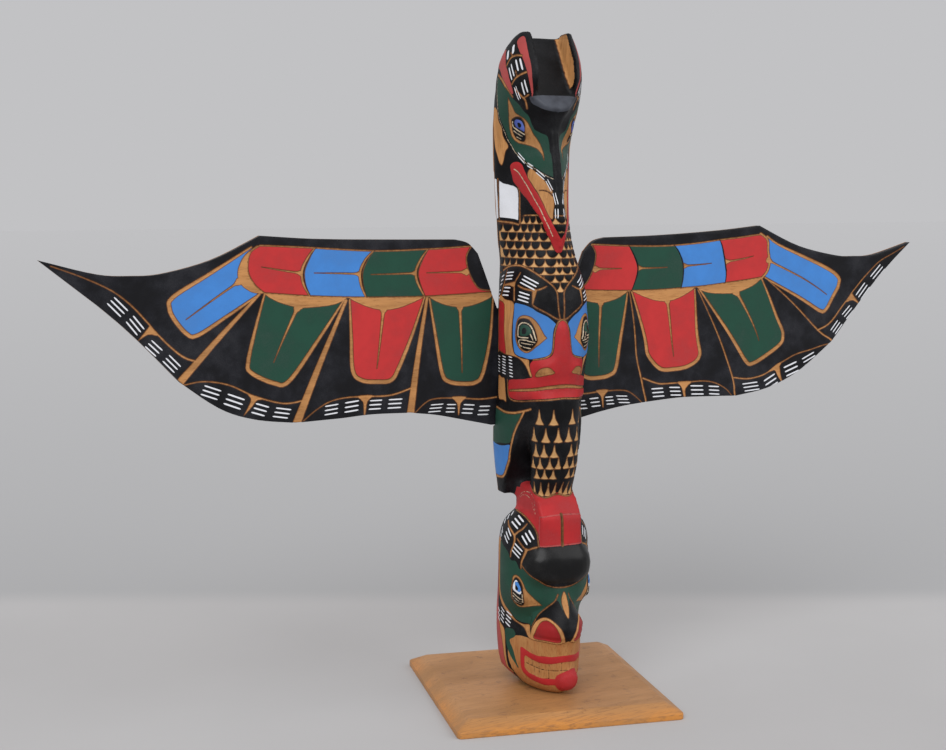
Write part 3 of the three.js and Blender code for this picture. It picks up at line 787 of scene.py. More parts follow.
def split_near(bm, distance, length, reach):
    """Halves each edge longer than length where paint ends within reach times its size.

    The nearest edges come first, and each one adds about two triangles to the whole.
    """
    bm.verts.index_update()
    found = []
    for edge in bm.edges:
        size = edge.calc_length() / MM
        a, b = edge.verts
        gap = min(distance[a.index], distance[b.index])
        if size > length and gap < reach * size:
            found.append((gap / size, edge.index, edge))
    found.sort(key=lambda item: item[:2])
    room = max(0, (SPLIT_FACES - len(bm.faces)) // 2)
    edges = [edge for gap, index, edge in found[:room]]
    bmesh.ops.subdivide_edges(bm, edges=edges, cuts=1)
    triangulated(bm)


def triangulated(bm):
    """Welds points that nearly meet, cuts all into triangles and takes flat folds away."""
    bmesh.ops.remove_doubles(bm, verts=bm.verts, dist=NEAR_POINTS)
    bmesh.ops.dissolve_degenerate(bm, edges=bm.edges, dist=NEAR_POINTS)
    bmesh.ops.triangulate(bm, faces=[face for face in bm.faces if len(face.verts) > 3])
    same = {}
    for face in bm.faces:
        same.setdefault(frozenset(face.verts), []).append(face)
    folds = [face for faces in same.values() if len(faces) > 1 for face in faces]
    bmesh.ops.delete(bm, geom=folds, context="FACES")


def ordered(bm):
    """Builds the mesh anew with sorted points and faces, so that each run gives the same."""
    verts = sorted(bm.verts, key=lambda vert: vert.co[:])
    rank = {vert: index for index, vert in enumerate(verts)}
    faces = []
    for face in bm.faces:
        corners = [rank[vert] for vert in face.verts]
        first = corners.index(min(corners))
        faces.append(corners[first:] + corners[:first])
    mesh = bpy.data.meshes.new("ordered")
    mesh.from_pydata([vert.co[:] for vert in verts], [], sorted(faces))
    bm.clear()
    bm.from_mesh(mesh)
    bpy.data.meshes.remove(mesh)


def eased(bm, sharp, ease):
    """Bevels the edges at which the surface turns by more than sharp, in degrees."""
    edges = [edge for edge in bm.edges if len(edge.link_faces) == 2
             and edge.calc_face_angle() > math.radians(sharp)]
    bmesh.ops.bevel(bm, geom=edges, offset=ease, affect="EDGES", segments=2, profile=0.5,
                    material=-1, clamp_overlap=True)


def finished(bm, name, sharp, columns=None):
    """Turns the bmesh into a piece that carries the columns as point attributes."""
    mesh = bpy.data.meshes.new(name)
    bm.to_mesh(mesh)
    bm.free()
    for title, values in (columns or {}).items():
        attribute = mesh.attributes.new(title, "FLOAT", "POINT")
        attribute.data.foreach_set("value", values.astype(np.float32))
    mesh.polygons.foreach_set("use_smooth", [True] * len(mesh.polygons))
    mesh.set_sharp_from_angle(angle=math.radians(sharp))
    return linked(name, mesh)


def carve(bm, canvas):
    """Moves each point along its normal by the carved height under it."""
    bm.normal_update()
    normals = np.array([v.normal for v in bm.verts])
    moved = np.abs(canvas.height) > LEAST_CUT
    places = places_of(bm)
    places[moved] += normals[moved] * canvas.height[moved, None]
    set_places(bm, places)


def painted_piece(bm, name, splits, paint_on):
    """Splits the skin along the paint's edges, carves it and makes it a piece."""
    for length, reach in splits:
        split_near(bm, paint_on(places_of(bm)).edge_distance(), length, reach)
    canvas = paint_on(places_of(bm))
    carve(bm, canvas)
    if len(bm.faces) >= MOST_FACES:
        raise RuntimeError(f"{name} has {len(bm.faces)} faces")
    columns = {f"paint_{paint}": canvas.fields[paint] for paint in PAINTS}
    columns.update(dash_edge=canvas.dash_edge, dash_phase=canvas.dash_phase,
                   carved=canvas.height)
    return finished(bm, name, PIECE_SHARP, columns)


# Pole

# In mm, but SCALE_LAST in degrees from the front
POLE_AXIS_Y = -14.0
BACK_FACE_Y = 24.0
POLE_STEP = 2.5                    # between the points of an outline's curve
RAY_START = 150                    # from the axis, outside everything
RAY_MISS = 60                      # from the axis, where nothing is met
SCALE_TOP = 655.5
SCALE_LAST = 124
SCALE_GAP = 0.6
SCALE_SHARE = 0.49                 # half a scale's width, as a share of the pitch
BROW_LEVELS = (172, 222.5)
BROW_BACK_Y = -44
TONGUE_EDGE = 1.06                 # of the tongue's half sizes
LEG_SIDE_ACROSS = (26, 32.5)
LEG_SIDE_LEVELS = (256, 291)
LEG_SIDE_BACK_Y = 3.5
CHANNEL_FOOT = 799
CHEEK_ACROSS = (22.4, 27.4)        # of the channel's inner cheeks, at CHEEK_TOP
CHEEK_TOP = 835
CHEEK_LEAN = 0.08                  # how much further out the cheek starts per mm below
CHEEK_REACH = 3                    # how far round the cheek its wood is measured
CHIP_SAG = 0.6                     # how far a belly chip's foot hangs in its middle


def chart_of(places):
    """Flat place of each point: degrees round the pole's axis and height."""
    turn = np.degrees(np.arctan2(-places[:, 0], -(places[:, 1] - POLE_AXIS_Y)))
    return np.stack([turn, places[:, 2]], axis=1)


def skin_lift(tree):
    """Puts chart places on the pole's skin, met from outside."""
    def lift(chart):
        found = []
        for turn, level in chart:
            angle = math.radians(turn)
            outward = Vector((-math.sin(angle), -math.cos(angle), 0))
            axis = Vector((0, POLE_AXIS_Y, level))
            hit = tree.ray_cast((axis + outward * RAY_START) * MM, -outward)[0]
            found.append(tuple(hit / MM if hit else axis + outward * RAY_MISS))
        return np.array(found)
    return lift


def outermost(places, lift):
    """True for points that nothing covers when seen from outside along their own turn."""
    hits = lift(chart_of(places))
    return np.linalg.norm(hits - places, axis=1) < SKIN_MATCH


def paint_bird(canvas):
    # painted highlight on the forehead ledge
    canvas.area("worn", LEDGE_SHEEN)
    canvas.area("rose", HORN_RED)
    canvas.area("rose", CREST_ROSE)
    canvas.line("tan", CREST_EDGE, 3.6)
    for points, width in CREST_BRANCHES:
        canvas.line("tan", points, width)
    canvas.area("green", BIRD_GREEN)
    canvas.line("cream", BIRD_GREEN_RIM, 0.9, height=-0.5)
    canvas.area("tan", BIRD_SOCKET, -0.9)
    canvas.area("black", BIRD_EYE, -0.2)
    canvas.area("violet", BIRD_IRIS, 0.7)
    canvas.area("black", BIRD_PUPIL, 0.8)
    for points, width in BIRD_EYE_BARS:
        canvas.line("cream", points, width, height=0.2)
    canvas.area("tan", BIRD_CHEEK)
    canvas.area("white", NECK_WHITE)
    canvas.area("white", NECK_WHITE_BACK)
    canvas.line("wood", NECK_SEAM, 1.4)
    canvas.line("tan", NECK_EDGE, 2.0)
    canvas.line("tan", NECK_BAND, 2.4)
    canvas.area("tan", BIRD_PANEL, -0.3)
    canvas.line("black", BIRD_PANEL_CUT, 1.0, height=-1.2)
    canvas.area("red", BIRD_LIP, 0.6, 1.6)
    canvas.line("cream", BIRD_LIP_LINE, 1.3, height=0.3)
    for group in BEAK_DASHES + CREST_DASHES:
        canvas.dashes(group)


def scale_triangle(canvas, turn, level, half, tall):
    """One pale chip between two dark scales: broad foot, hollow sides and a fine point."""
    canvas.area("chip", [
        (turn - half, level), (turn - half, level), (turn, level - CHIP_SAG),
        (turn + half, level), (turn + half, level), (turn + 0.35 * half, level + 0.42 * tall),
        (turn + 0.06 * half, level + tall), (turn - 0.06 * half, level + tall),
        (turn - 0.35 * half, level + 0.42 * tall),
    ], -1.1, 1.2)


def hanging_scale(canvas, turn, level, half, tall):
    """One dark scale, flat at the top and round below."""
    corners = [(turn - half, level), (turn + half, level)]
    arc = [(turn + half * math.cos(math.pi * k / 6), level - tall * math.sin(math.pi * k / 6))
           for k in range(7)]
    canvas.area("black", corners[:1] + arc[::-1] + corners[1:], 0.2, 1.2)


def paint_scales(canvas):
    canvas.area("chip", SCALE_GROUND, -0.7)
    top = SCALE_TOP
    for level, first, pitch in SCALE_ROWS:
        turn = first - pitch / 2
        while turn < SCALE_LAST:
            hanging_scale(canvas, turn, top - SCALE_GAP, SCALE_SHARE * pitch,
                          top - level - 2 * SCALE_GAP)
            turn += pitch
        top = level


def paint_middle_face(canvas):
    canvas.area("black", LOBE_DARK, 0.0)
    canvas.line("tan", LOBE_EDGE, 2.8, 1.5)
    canvas.line("tan", LOBE_STEM, 1.8, 2.4)
    canvas.area("tan", LOBE_STEM_BRANCH, -0.8)
    canvas.line("tan", LOBE_BACK_STEM, 2.0)
    for points, start, end in LOBE_FORK:
        canvas.line("tan", points, start, end)
    canvas.line("tan", FOREHEAD_LINE, 1.8)
    canvas.area("tan", CHEEK_TAN, -0.4)
    canvas.area("red", CHEEK_RED)
    canvas.area("blue", FACE_BLUE)
    canvas.area("tan", FACE_SOCKET, -0.8)
    canvas.area("black", FACE_EYE, -0.3)
    canvas.area("green", FACE_IRIS, 0.5)
    canvas.area("black", FACE_PUPIL, 0.6)
    for points, width in FACE_EYE_BARS:
        canvas.line("cream", points, width, height=0.1)
    canvas.line("tan", NOSE_RIM, 1.8, height=-0.6)
    canvas.area("red", NOSE_RED)
    canvas.area("tan", NOSTRIL, -1.2, 1.5)
    canvas.area("tan", JAW_TAN, -0.3)
    canvas.line("tan", LIP_RIM, 1.8, height=-0.6)
    canvas.area("red", UPPER_LIP)
    canvas.area("red", LOWER_LIP)
    canvas.line("tan", LIP_GAP, 2.4, 5.0, -1.4)
    for group in LOBE_DASHES + EAR_DASHES:
        canvas.dashes(group)


def paint_legs(canvas):
    canvas.area("green", THIGH_GREEN)
    canvas.area("blue", THIGH_BLUE)
    canvas.line("tan", THIGH_LINE, 3.0)
    canvas.line("tan", THIGH_EDGE, 2.8, 3.8)
    for level, tall, turns, half in BELLY_ROWS:
        for turn in turns:
            scale_triangle(canvas, turn, level, half, tall)
    canvas.line("black", BELLY_GROOVE, 2.0, 4.0, -1.6, 2.0)
    canvas.area("red", LEG_RED)
    canvas.line("tan", LEG_SCALLOPS, 1.5, height=-0.5)
    # painted highlights along the foot block's edges
    for points in FOOT_EDGE_HIGHLIGHTS:
        canvas.line("rose", points, 1.8, height=-0.2)
    for points in FOOT_CURLS:
        canvas.line("cream", points, 0.75, height=-0.2)
    canvas.line("tan", FOOT_BORDER, 1.7, height=-0.5)
    canvas.line("tan", LEG_GROOVE, 3.4, height=-0.8)
    canvas.line("black", LEG_GROOVE, 1.0, height=-1.6)


def paint_lower_face(canvas):
    for points, start, end in CROWN_BRANCHES:
        canvas.line("tan", points, start, end)
    canvas.area("green", LOWER_GREEN)
    canvas.line("tan", LOWER_GREEN_LINE, 1.4, height=-0.6)
    canvas.area("rose", SIDE_ROSE)
    canvas.area("tan", LOWER_STRIP, -0.5)
    canvas.area("tan", LOWER_SOCKET, -0.8)
    canvas.area("black", LOWER_EYE, -0.3)
    canvas.area("white", LOWER_WHITE, 0.2)
    canvas.area("blue", LOWER_IRIS, 0.5)
    canvas.area("black", LOWER_PUPIL, 0.6)
    for points, width in LOWER_EYE_BARS:
        canvas.line("cream", points, width, height=0.1)
    canvas.area("tan", NOSE_LENS, -0.5)
    canvas.line("tan", NOSE_SIDE_LINE, 1.5, height=-0.7)
    canvas.area("tan", NOSTRIL_RIM, 0.4)
    canvas.area("red", NOSTRIL_RED, -1.2, 2.0)
    canvas.area("rose", TEMPLE_ROSE)
    canvas.area("tan", TEMPLE_TAN, -0.3)
    # darker wood on the muzzle, partly painted shade
    canvas.area("wood", MUZZLE_WOOD_AND_SHADE)
    canvas.area("green", JAW_GREEN)
    canvas.area("red", MUZZLE_RED, 0.5, 1.4)
    for points, width in TOOTH_LINES:
        canvas.line("black", points, width, height=-0.9, ease=0.6)
    canvas.area("wood", CHIN_WOOD)
    for group in CROWN_DASHES + TEMPLE_DASHES:
        canvas.dashes(group)


def paint_brow(canvas):
    """The lower head's brow is a polished black roll."""
    x, y, z = canvas.solid.T
    low, high = BROW_LEVELS
    depth = np.minimum.reduce([z - low, high - z, BROW_BACK_Y - y, canvas.fields["black"]])
    chosen = np.nonzero((depth > 0) & canvas.open)[0]
    canvas.lay("gloss", chosen, depth[chosen], 0.0)


def paint_tongue(canvas, places):
    """The tongue sits a little to one side, so it is found by its place."""
    shares = (places - TONGUE_PLACE) / TONGUE_HALF
    depth = (TONGUE_EDGE - np.linalg.norm(shares, axis=1)) * min(TONGUE_HALF)
    chosen = np.nonzero((depth > -AREA_REACH) & (places[:, 1] < TONGUE_BACK_Y))[0]
    canvas.lay("red", chosen, depth[chosen], 0.2)


def paint_leg_sides(canvas):
    """The foot block's flanks under the tail are red too."""
    x, y, z = canvas.solid.T
    inner, outer = LEG_SIDE_ACROSS
    low, high = LEG_SIDE_LEVELS
    depth = np.minimum.reduce([np.abs(x) - inner, outer - np.abs(x), z - low, high - z,
                               LEG_SIDE_BACK_Y - y])
    chosen = np.nonzero(depth > -LINE_REACH)[0]
    canvas.lay("red", chosen, depth[chosen], 0.0)


def paint_back(canvas):
    """The flat back and the channel's inner cheeks stay bare wood."""
    x, y, z = canvas.solid.T
    every = np.arange(len(y))
    canvas.lay("wood", every, y - BACK_FACE_Y, 0.0)
    inner, outer = CHEEK_ACROSS
    inner = inner + CHEEK_LEAN * np.maximum(0, CHEEK_TOP - z)
    cheek = np.minimum.reduce([z - CHANNEL_FOOT, outer - np.abs(x), np.abs(x) - inner, -y])
    cheek = np.where((cheek > -CHEEK_REACH) & ~canvas.open, cheek, -FAR)
    canvas.lay("tan", every, cheek, 0.0)


def pole_canvas(places, lift):
    """The pole's whole paintwork, read on its left side and mirrored."""
    folded = places.copy()
    folded[:, 0] = -np.abs(folded[:, 0])
    canvas = Canvas(chart_of(folded), folded, POLE_STEP, lift=lift)
    canvas.open = outermost(places, lift)
    paint_scales(canvas)
    paint_bird(canvas)
    paint_middle_face(canvas)
    paint_leg_sides(canvas)
    paint_legs(canvas)
    paint_lower_face(canvas)
    paint_brow(canvas)
    paint_tongue(canvas, places)
    paint_back(canvas)
    return canvas


# Wings, in mm

WING_STEP = 4.0                    # between the points of an outline's curve
WING_FRONT = 2.5                   # behind the front face, where the paint on it stops
WING_BACK = 9                      # behind it, where the bare back starts
RIGHT_STEM = 0.76                  # length of the right wing's row stems, left wing 1
ROW_MARGIN = 5                     # from a feather's outer edge to the next point of its row
# the dark line beside a row bar is painted shade of the carved step
BAR_SHADE_SHIFT = 1.7                    # from a row bar to the dark line beside it
CAD_CARVING = 2                    # deepest line in the solid wing's front face


def drifted(places):
    """Moves the left wing's outlines to where the right wing's lie."""
    table = np.array(WING_DRIFT, float)
    gaps = ((places[:, None, :] - table[None, :, :2]) ** 2).sum(axis=2)
    weights = 1 / (gaps + 1)
    weights /= weights.sum(axis=1, keepdims=True)
    return places + weights @ table[:, 2:]


def cornered(path):
    """The path with its two ends made corners, to be closed by a straight edge."""
    return [path[0], *path, path[-1]]


def row_feather(edge):
    """Outline of a feather of the upper row, from its outer edge to the wing's root."""
    foot = [point for point in ROW_FOOT if point[0] < edge[-1][0] - ROW_MARGIN]
    top = [point for point in ROW_TOP if point[0] < edge[0][0] - ROW_MARGIN]
    return [edge[0], *edge, edge[-1], *foot, foot[-1], top[-1], *top[::-1]]


def wing_canvas(places, right, front_y):
    """One wing's paintwork on its front face."""
    flat = np.stack([np.abs(places[:, 0]), places[:, 2]], axis=1)
    canvas = Canvas(flat, flat, WING_STEP, drifted if right else unmoved)
    canvas.open = places[:, 1] < front_y + WING_FRONT
    canvas.area("blue", cornered(LONG_FEATHER_RIM))
    if right:
        canvas.line("tan", ROW_END, 5.5, height=-0.8)
    else:
        canvas.area("tan", OUTER_CRESCENT, -0.8)
    for paint, outline in LOWER_FEATHERS:
        canvas.area(paint, cornered(outline))
    for outline in LOWER_CRESCENTS:
        canvas.area("tan", outline, -0.8)
    for paint, edge, stem in zip(ROW_PAINTS, [ROW_END] + ROW_BARS, ROW_STEMS):
        canvas.area(paint, row_feather(edge))
        tip, middle, root = (np.array(point, float) for point in stem)
        if right:
            tip, middle = (root + RIGHT_STEM * (point - root) for point in (tip, middle))
        canvas.line("tan", [tip, middle, root], 0.5, 2.6, -0.8, flare=7.0)
    canvas.area("black", ROOT_LENS)
    for points, start, end in SPARS:
        if right:
            canvas.line("tan", points, 1.6, 2.6, -0.9)
        else:
            canvas.line("tan", points, start, end, -1.0)
    canvas.line("tan", LONG_FEATHER_RIM, 2.6, height=-0.9, swell=2.8)
    canvas.line("tan", LONG_STEM + [ROW_END[3]] * right, 0.6, 2.6, -0.8, flare=7.0)
    for paint, outline in LOWER_FEATHERS:
        canvas.line("tan", outline, 2.4, height=-0.9, swell=3.2)
    canvas.line("tan", ROW_TOP, 1.8, height=-0.8)
    canvas.line("tan", ROW_FOOT, 1.8, height=-0.8)
    canvas.line("tan", ROW_END, 1.6, height=-0.8)
    canvas.line("tan", ROOT_LENS_EDGE, 1.3, height=-0.7)
    # The row bars carry painted shade: dark lines on the right wing, and a thin black line beside
    # each tan bar on the left, both the shadow of the carved steps between the feathers
    for points in ROW_BARS:
        if right:
            canvas.line("black", points, 1.2, height=-1.0, swell=1.2)
        else:
            canvas.line("tan", points, 1.6, height=-1.0, swell=4.0)
            step_shade = [(across - BAR_SHADE_SHIFT, level) for across, level in points]
            canvas.line("black", step_shade, 0.5, height=-1.2, swell=0.9)
    for points in LOWER_STEMS:
        canvas.line("tan", points, 0.6, 4.4, -0.8, flare=9.0)
    for points, start, end in EDGE_LINES:
        canvas.line("tan", points, start, end, -0.8)
    for outline in EDGE_TEES:
        canvas.area("tan", outline, -0.8)
    for group in WING_DASHES:
        canvas.dashes(group)
    back = places[:, 1] - front_y - WING_BACK
    canvas.lay("wood", np.arange(len(places)), back, 0.0)
    return canvas


def flattened_wing(node, front_y):
    """The wing's board with the front face made one plane and its flat faces joined."""
    bm = welded_copy(node)
    for vert in bm.verts:
        if vert.co.y < (front_y + CAD_CARVING) * MM:
            vert.co.y = front_y * MM
    bmesh.ops.remove_doubles(bm, verts=bm.verts, dist=WING_WELD)
    bmesh.ops.dissolve_degenerate(bm, edges=bm.edges, dist=WING_WELD)
    bmesh.ops.dissolve_limit(bm, angle_limit=LEVEL_FACES, verts=bm.verts, edges=bm.edges)
    return bm


def gridded(bm, size):
    """Cuts the board along even lines out and up."""
    places = places_of(bm)
    for axis in (0, 2):
        normal = [0, 0, 0]
        normal[axis] = 1
        low, high = places[:, axis].min(), places[:, axis].max()
        for k in range(1, int((high - low) / size) + 1):
            spot = [0, 0, 0]
            spot[axis] = (low + k * size) * MM
            everything = bm.verts[:] + bm.edges[:] + bm.faces[:]
            bmesh.ops.bisect_plane(bm, geom=everything, dist=NEAR_POINTS, plane_co=spot,
                                   plane_no=normal)
    triangulated(bm)
    ordered(bm)   # the cuts leave the faces in another order in each run


# Materials

WANDER = 0.9             # mm by which the edge of a paint wanders
SOFT_EDGE = 0.3          # mm over which one paint gives way to the next
DASH_SOFTNESS = 0.035    # the same for dashes, as a share of their spacing
GLOSS_COAT = 0.24
PAINT_BUMP = 0.35 * MM
BOARD_BUMP = 0.4 * MM
BOARD_TURN = math.radians(9)
BOARD_GRAIN = (0.07, 1.0, 0.6)
BOARD_EDGE_LEVELS = (8 * MM, 18.9 * MM)


def linear(red, green, blue):
    """Linear colour from the 0 to 255 steps of a paint chart."""
    return tuple(((c / 255 + 0.055) / 1.055) ** 2.4 if c > 10 else c / 255 / 12.92
                 for c in (red, green, blue))


class Graph:
    """Short words for building a node tree."""

    def __init__(self, tree):
        self.tree = tree

    def node(self, kind, **settings):
        made = self.tree.nodes.new(kind)
        for key, value in settings.items():
            setattr(made, key, value)
        return made

    def put(self, target, value):
        """Links a socket to the target, or sets a plain number, place or colour on it."""
        if isinstance(value, bpy.types.NodeSocket):
            self.tree.links.new(value, target)
        else:
            target.default_value = (*value, 1) if target.type == "RGBA" else value

    def filled(self, kind, **values):
        """A node whose inputs are given by name, with _ for a space."""
        made = self.node(kind)
        for name, value in values.items():
            self.put(made.inputs[name.replace("_", " ")], value)
        return made

    def math(self, operation, *values, clamp=False):
        made = self.node("ShaderNodeMath", operation=operation, use_clamp=clamp)
        for target, value in zip(made.inputs, values):
            self.put(target, value)
        return made.outputs[0]

    def plus(self, first, second):
        return self.math("ADD", first, second)

    def minus(self, first, second):
        return self.math("SUBTRACT", first, second)

    def times(self, first, second):
        return self.math("MULTIPLY", first, second)

    def ramp(self, value, low, high, start=0.0, stop=1.0):
        """A soft change from start, where the value is low, to stop, where it is high."""
        made = self.filled("ShaderNodeMapRange", Value=value, From_Min=low, From_Max=high,
                           To_Min=start, To_Max=stop)
        made.interpolation_type = "SMOOTHSTEP"
        return made.outputs[0]

    def mix(self, factor, first, second, blend="MIX"):
        made = self.node("ShaderNodeMix", data_type="RGBA", blend_type=blend)
        for index, value in ((0, factor), (6, first), (7, second)):
            self.put(made.inputs[index], value)
        return made.outputs[2]

    def noise(self, place, scale, detail=3.0, roughness=0.5):
        return self.filled("ShaderNodeTexNoise", Vector=place, Scale=scale, Detail=detail,
                           Roughness=roughness).outputs["Fac"]

    def attribute(self, name):
        return self.node("ShaderNodeAttribute", attribute_name=name).outputs["Fac"]

    def stretched(self, place, scale, turn=0.0):
        """Places turned about the upright and squeezed along each axis."""
        return self.filled("ShaderNodeMapping", Vector=place, Rotation=(0, 0, turn),
                           Scale=scale).outputs[0]

    def bump(self, height, strength, distance):
        return self.filled("ShaderNodeBump", Height=height, Strength=strength,
                           Distance=distance).outputs[0]


def new_material(name):
    """A new material, its graph, its shader and its Object coordinates."""
    material = bpy.data.materials.new(name)
    material.use_nodes = True
    g = Graph(material.node_tree)
    place = g.node("ShaderNodeTexCoord").outputs["Object"]
    return material, g, g.tree.nodes["Principled BSDF"].inputs, place


def new_group(name, outputs, **inputs):
    """A node group with number sockets. An input whose value is None takes places."""
    group = bpy.data.node_groups.new(name, "ShaderNodeTree")
    for title, value in inputs.items():
        kind = "NodeSocketVector" if value is None else "NodeSocketFloat"
        made = group.interface.new_socket(title, in_out="INPUT", socket_type=kind)
        if value is not None:
            made.default_value = value
    for title in outputs:
        group.interface.new_socket(title, in_out="OUTPUT", socket_type="NodeSocketFloat")
    g = Graph(group)
    return group, g, g.node("NodeGroupInput").outputs, g.node("NodeGroupOutput").inputs


def wood_grain_group():
    """Fine streaks and slow bands along one direction of the wood."""
    group, g, given, result = new_group("Wood Grain", ("Streak", "Band"), Place=None,
                                        Strength=0.5)
    for title, scale, detail, roughness in (("Streak", 620.0, 4.0, 0.6),
                                            ("Band", 85.0, 3.0, 0.55)):
        noise = g.noise(given["Place"], scale, detail, roughness)
        g.put(result[title], g.math("MULTIPLY_ADD", g.minus(noise, 0.5), given["Strength"], 0.5))
    return group


def paint_edge_group():
    """Turns a distance in mm into a mask with a hand-painted edge."""
    group, g, given, result = new_group("Paint Edge", ("Mask",), Distance=0.0, Wander=0.0,
                                        Softness=SOFT_EDGE)
    moved = g.plus(given["Distance"], given["Wander"])
    soft = given["Softness"]
    g.put(result["Mask"], g.ramp(moved, g.times(soft, -1.0), soft))
    return group


def dash_group():
    """White brush strokes inside a dash block, finer towards their ends."""
    group, g, given, result = new_group("Brush Dashes", ("Mask",), Edge=0.0, Phase=0.0,
                                        Width=0.25, Wander=0.0)
    edge, wander = given["Edge"], given["Wander"]
    turn = g.math("FRACT", g.plus(given["Phase"], 0.5))
    off = g.plus(g.math("ABSOLUTE", g.minus(turn, 0.5)), g.times(wander, 0.06))
    width = g.times(given["Width"], g.ramp(edge, -0.2, 2.4, 0.5, 1.0))
    stroke = g.ramp(off, g.minus(width, DASH_SOFTNESS), g.plus(width, DASH_SOFTNESS))
    within = g.ramp(g.plus(edge, wander), -0.25, 0.35)
    g.put(result["Mask"], g.times(g.minus(1.0, stroke), within))
    return group


GROUP_MAKERS = {"Wood Grain": wood_grain_group, "Paint Edge": paint_edge_group,
                "Brush Dashes": dash_group}


def group_outputs(g, name, **values):
    """Places the named group, which is built the first time, with its own values."""
    group = bpy.data.node_groups.get(name) or GROUP_MAKERS[name]()
    made = g.node("ShaderNodeGroup", node_tree=group)
    for title, value in values.items():
        g.put(made.inputs[title], value)
    return made.outputs


def painted_wood(name, colours, grain_scale, finish, dash_width):
    """Satin paint over carved wood, from the distances that the mesh carries."""
    material, g, shader, place = new_material(name)
    grain = group_outputs(g, "Wood Grain", Place=g.stretched(place, grain_scale), Strength=1.0)
    wander = g.times(g.minus(g.noise(place, 210.0, 2.0), 0.5), WANDER)
    patchy = g.noise(place, 26.0, 3.0, 0.6)
    speck = g.noise(place, 900.0, 2.0, 0.7)

    inks = {}
    for paint, light, low, high, most in (("tan", "tan_light", 0.5, 0.72, 0.45),
                                          ("wood", "wood", 0.45, 0.75, 0.6)):
        ink = g.mix(g.ramp(grain["Band"], 0.3, 0.7), colours[light], colours["tan_deep"])
        streaks = g.ramp(grain["Streak"], low, high, 0.0, most)
        inks[paint] = g.mix(streaks, ink, colours["tan_dark"])
    inks["chip"] = g.mix(0.65, inks["tan"], colours["chip"])

    colour = g.mix(g.ramp(patchy, 0.35, 0.65), colours["black"], colours["black_blue"])
    masks = {}
    for paint in PAINTS:
        masks[paint] = group_outputs(g, "Paint Edge", Distance=g.attribute(f"paint_{paint}"),
                                     Wander=wander, Softness=SOFT_EDGE)["Mask"]
        if paint not in inks:
            inks[paint] = g.mix(g.ramp(patchy, 0.3, 0.7), colours[paint],
                                colours[paint + "_deep"])
        colour = g.mix(masks[paint], colour, inks[paint])
        if paint == "chip":
            # Painted shade: dark brown along the edges of the carved tan lines and chips, where
            # the groove walls lie in shadow
            cut = g.math("MAXIMUM", g.attribute("paint_tan"), g.attribute("paint_chip"))
            shade_rim = g.math("ABSOLUTE", g.plus(cut, g.times(wander, 0.8)))
            colour = g.mix(g.ramp(shade_rim, 0.25, 0.95, 0.75, 0.0), colour, colours["groove_edge_shade"])
    dash = group_outputs(g, "Brush Dashes", Edge=g.attribute("dash_edge"),
                         Phase=g.attribute("dash_phase"), Width=dash_width,
                         Wander=wander)["Mask"]
    colour = g.mix(dash, colour, colours["white"])
    # Painted shade: the carved hollows are darkened by multiplying in a brown shade, more the
    # deeper the cut
    groove_shade = g.ramp(g.attribute("carved"), -1.3, -0.1, 0.32, 0.0)
    colour = g.mix(groove_shade, colour, colours["shade"], "MULTIPLY")
    wear = g.plus(g.times(patchy, 0.6), g.times(speck, 0.4))
    colour = g.mix(g.ramp(wear, 0.45, 0.75, 0.0, 0.05), colour, colours["bloom"])
    g.put(shader["Base Color"], colour)

    unpainted = g.math("MAXIMUM", g.math("MAXIMUM", masks["tan"], masks["chip"]), masks["wood"])
    rough = g.ramp(patchy, 0.3, 0.7, finish - 0.05, finish + 0.08)
    rough = g.math("MULTIPLY_ADD", unpainted, 0.12, rough)
    rough = g.math("MULTIPLY_ADD", masks["gloss"], -0.12, rough, clamp=True)
    g.put(shader["Roughness"], rough)
    g.put(shader["Coat Weight"], g.times(masks["gloss"], GLOSS_COAT))
    g.put(shader["Coat Roughness"], 0.3)
    g.put(shader["Specular IOR Level"], 0.15)

    grainy = g.math("MULTIPLY_ADD", unpainted, 0.5, 0.35)
    relief = g.math("MULTIPLY_ADD", grain["Streak"], grainy, g.times(speck, 0.25))
    relief = g.times(g.minus(1.0, masks["gloss"]), relief)
    relief = g.plus(relief, g.times(dash, 0.35))
    g.put(shader["Normal"], g.bump(relief, 0.5, PAINT_BUMP))
    return material


def board_wood(name, colours):
    """Oiled softwood: long grain, knots, and a warmer edge that shows its grain."""
    material, g, shader, place = new_material(name)
    along = g.stretched(place, BOARD_GRAIN, BOARD_TURN)
    grain = group_outputs(g, "Wood Grain", Place=along, Strength=1.1)
    tone = g.plus(g.times(g.noise(along, 34.0, 3.0, 0.55), 0.55),
                  g.times(g.noise(place, 9.0, 2.0), 0.45))
    knots = g.noise(place, 48.0, 4.0, 0.7)
    specks = g.noise(place, 260.0, 2.0, 0.5)
    colour = g.mix(g.ramp(tone, 0.36, 0.64), colours["board_light"], colours["board_deep"])
    for mark, low, high, most in ((grain["Streak"], 0.48, 0.75, 0.6), (knots, 0.57, 0.7, 0.6),
                                  (specks, 0.68, 0.74, 0.5)):
        colour = g.mix(g.ramp(mark, low, high, 0.0, most), colour, colours["board_dark"])
    side = g.mix(g.ramp(grain["Streak"], 0.42, 0.7, 0.0, 0.55), colours["board_edge"],
                 colours["board_dark"])
    side = g.mix(g.ramp(tone, 0.36, 0.6), side, colours["board_deep"])
    level = g.filled("ShaderNodeSeparateXYZ", Vector=place).outputs["Z"]
    g.put(shader["Base Color"], g.mix(g.ramp(level, *BOARD_EDGE_LEVELS, 0.85, 0.0), colour, side))
    g.put(shader["Roughness"], g.ramp(tone, 0.3, 0.7, 0.42, 0.6))
    g.put(shader["Normal"], g.bump(g.plus(grain["Streak"], g.times(knots, 0.4)), 0.4,
                                   BOARD_BUMP))
    return material


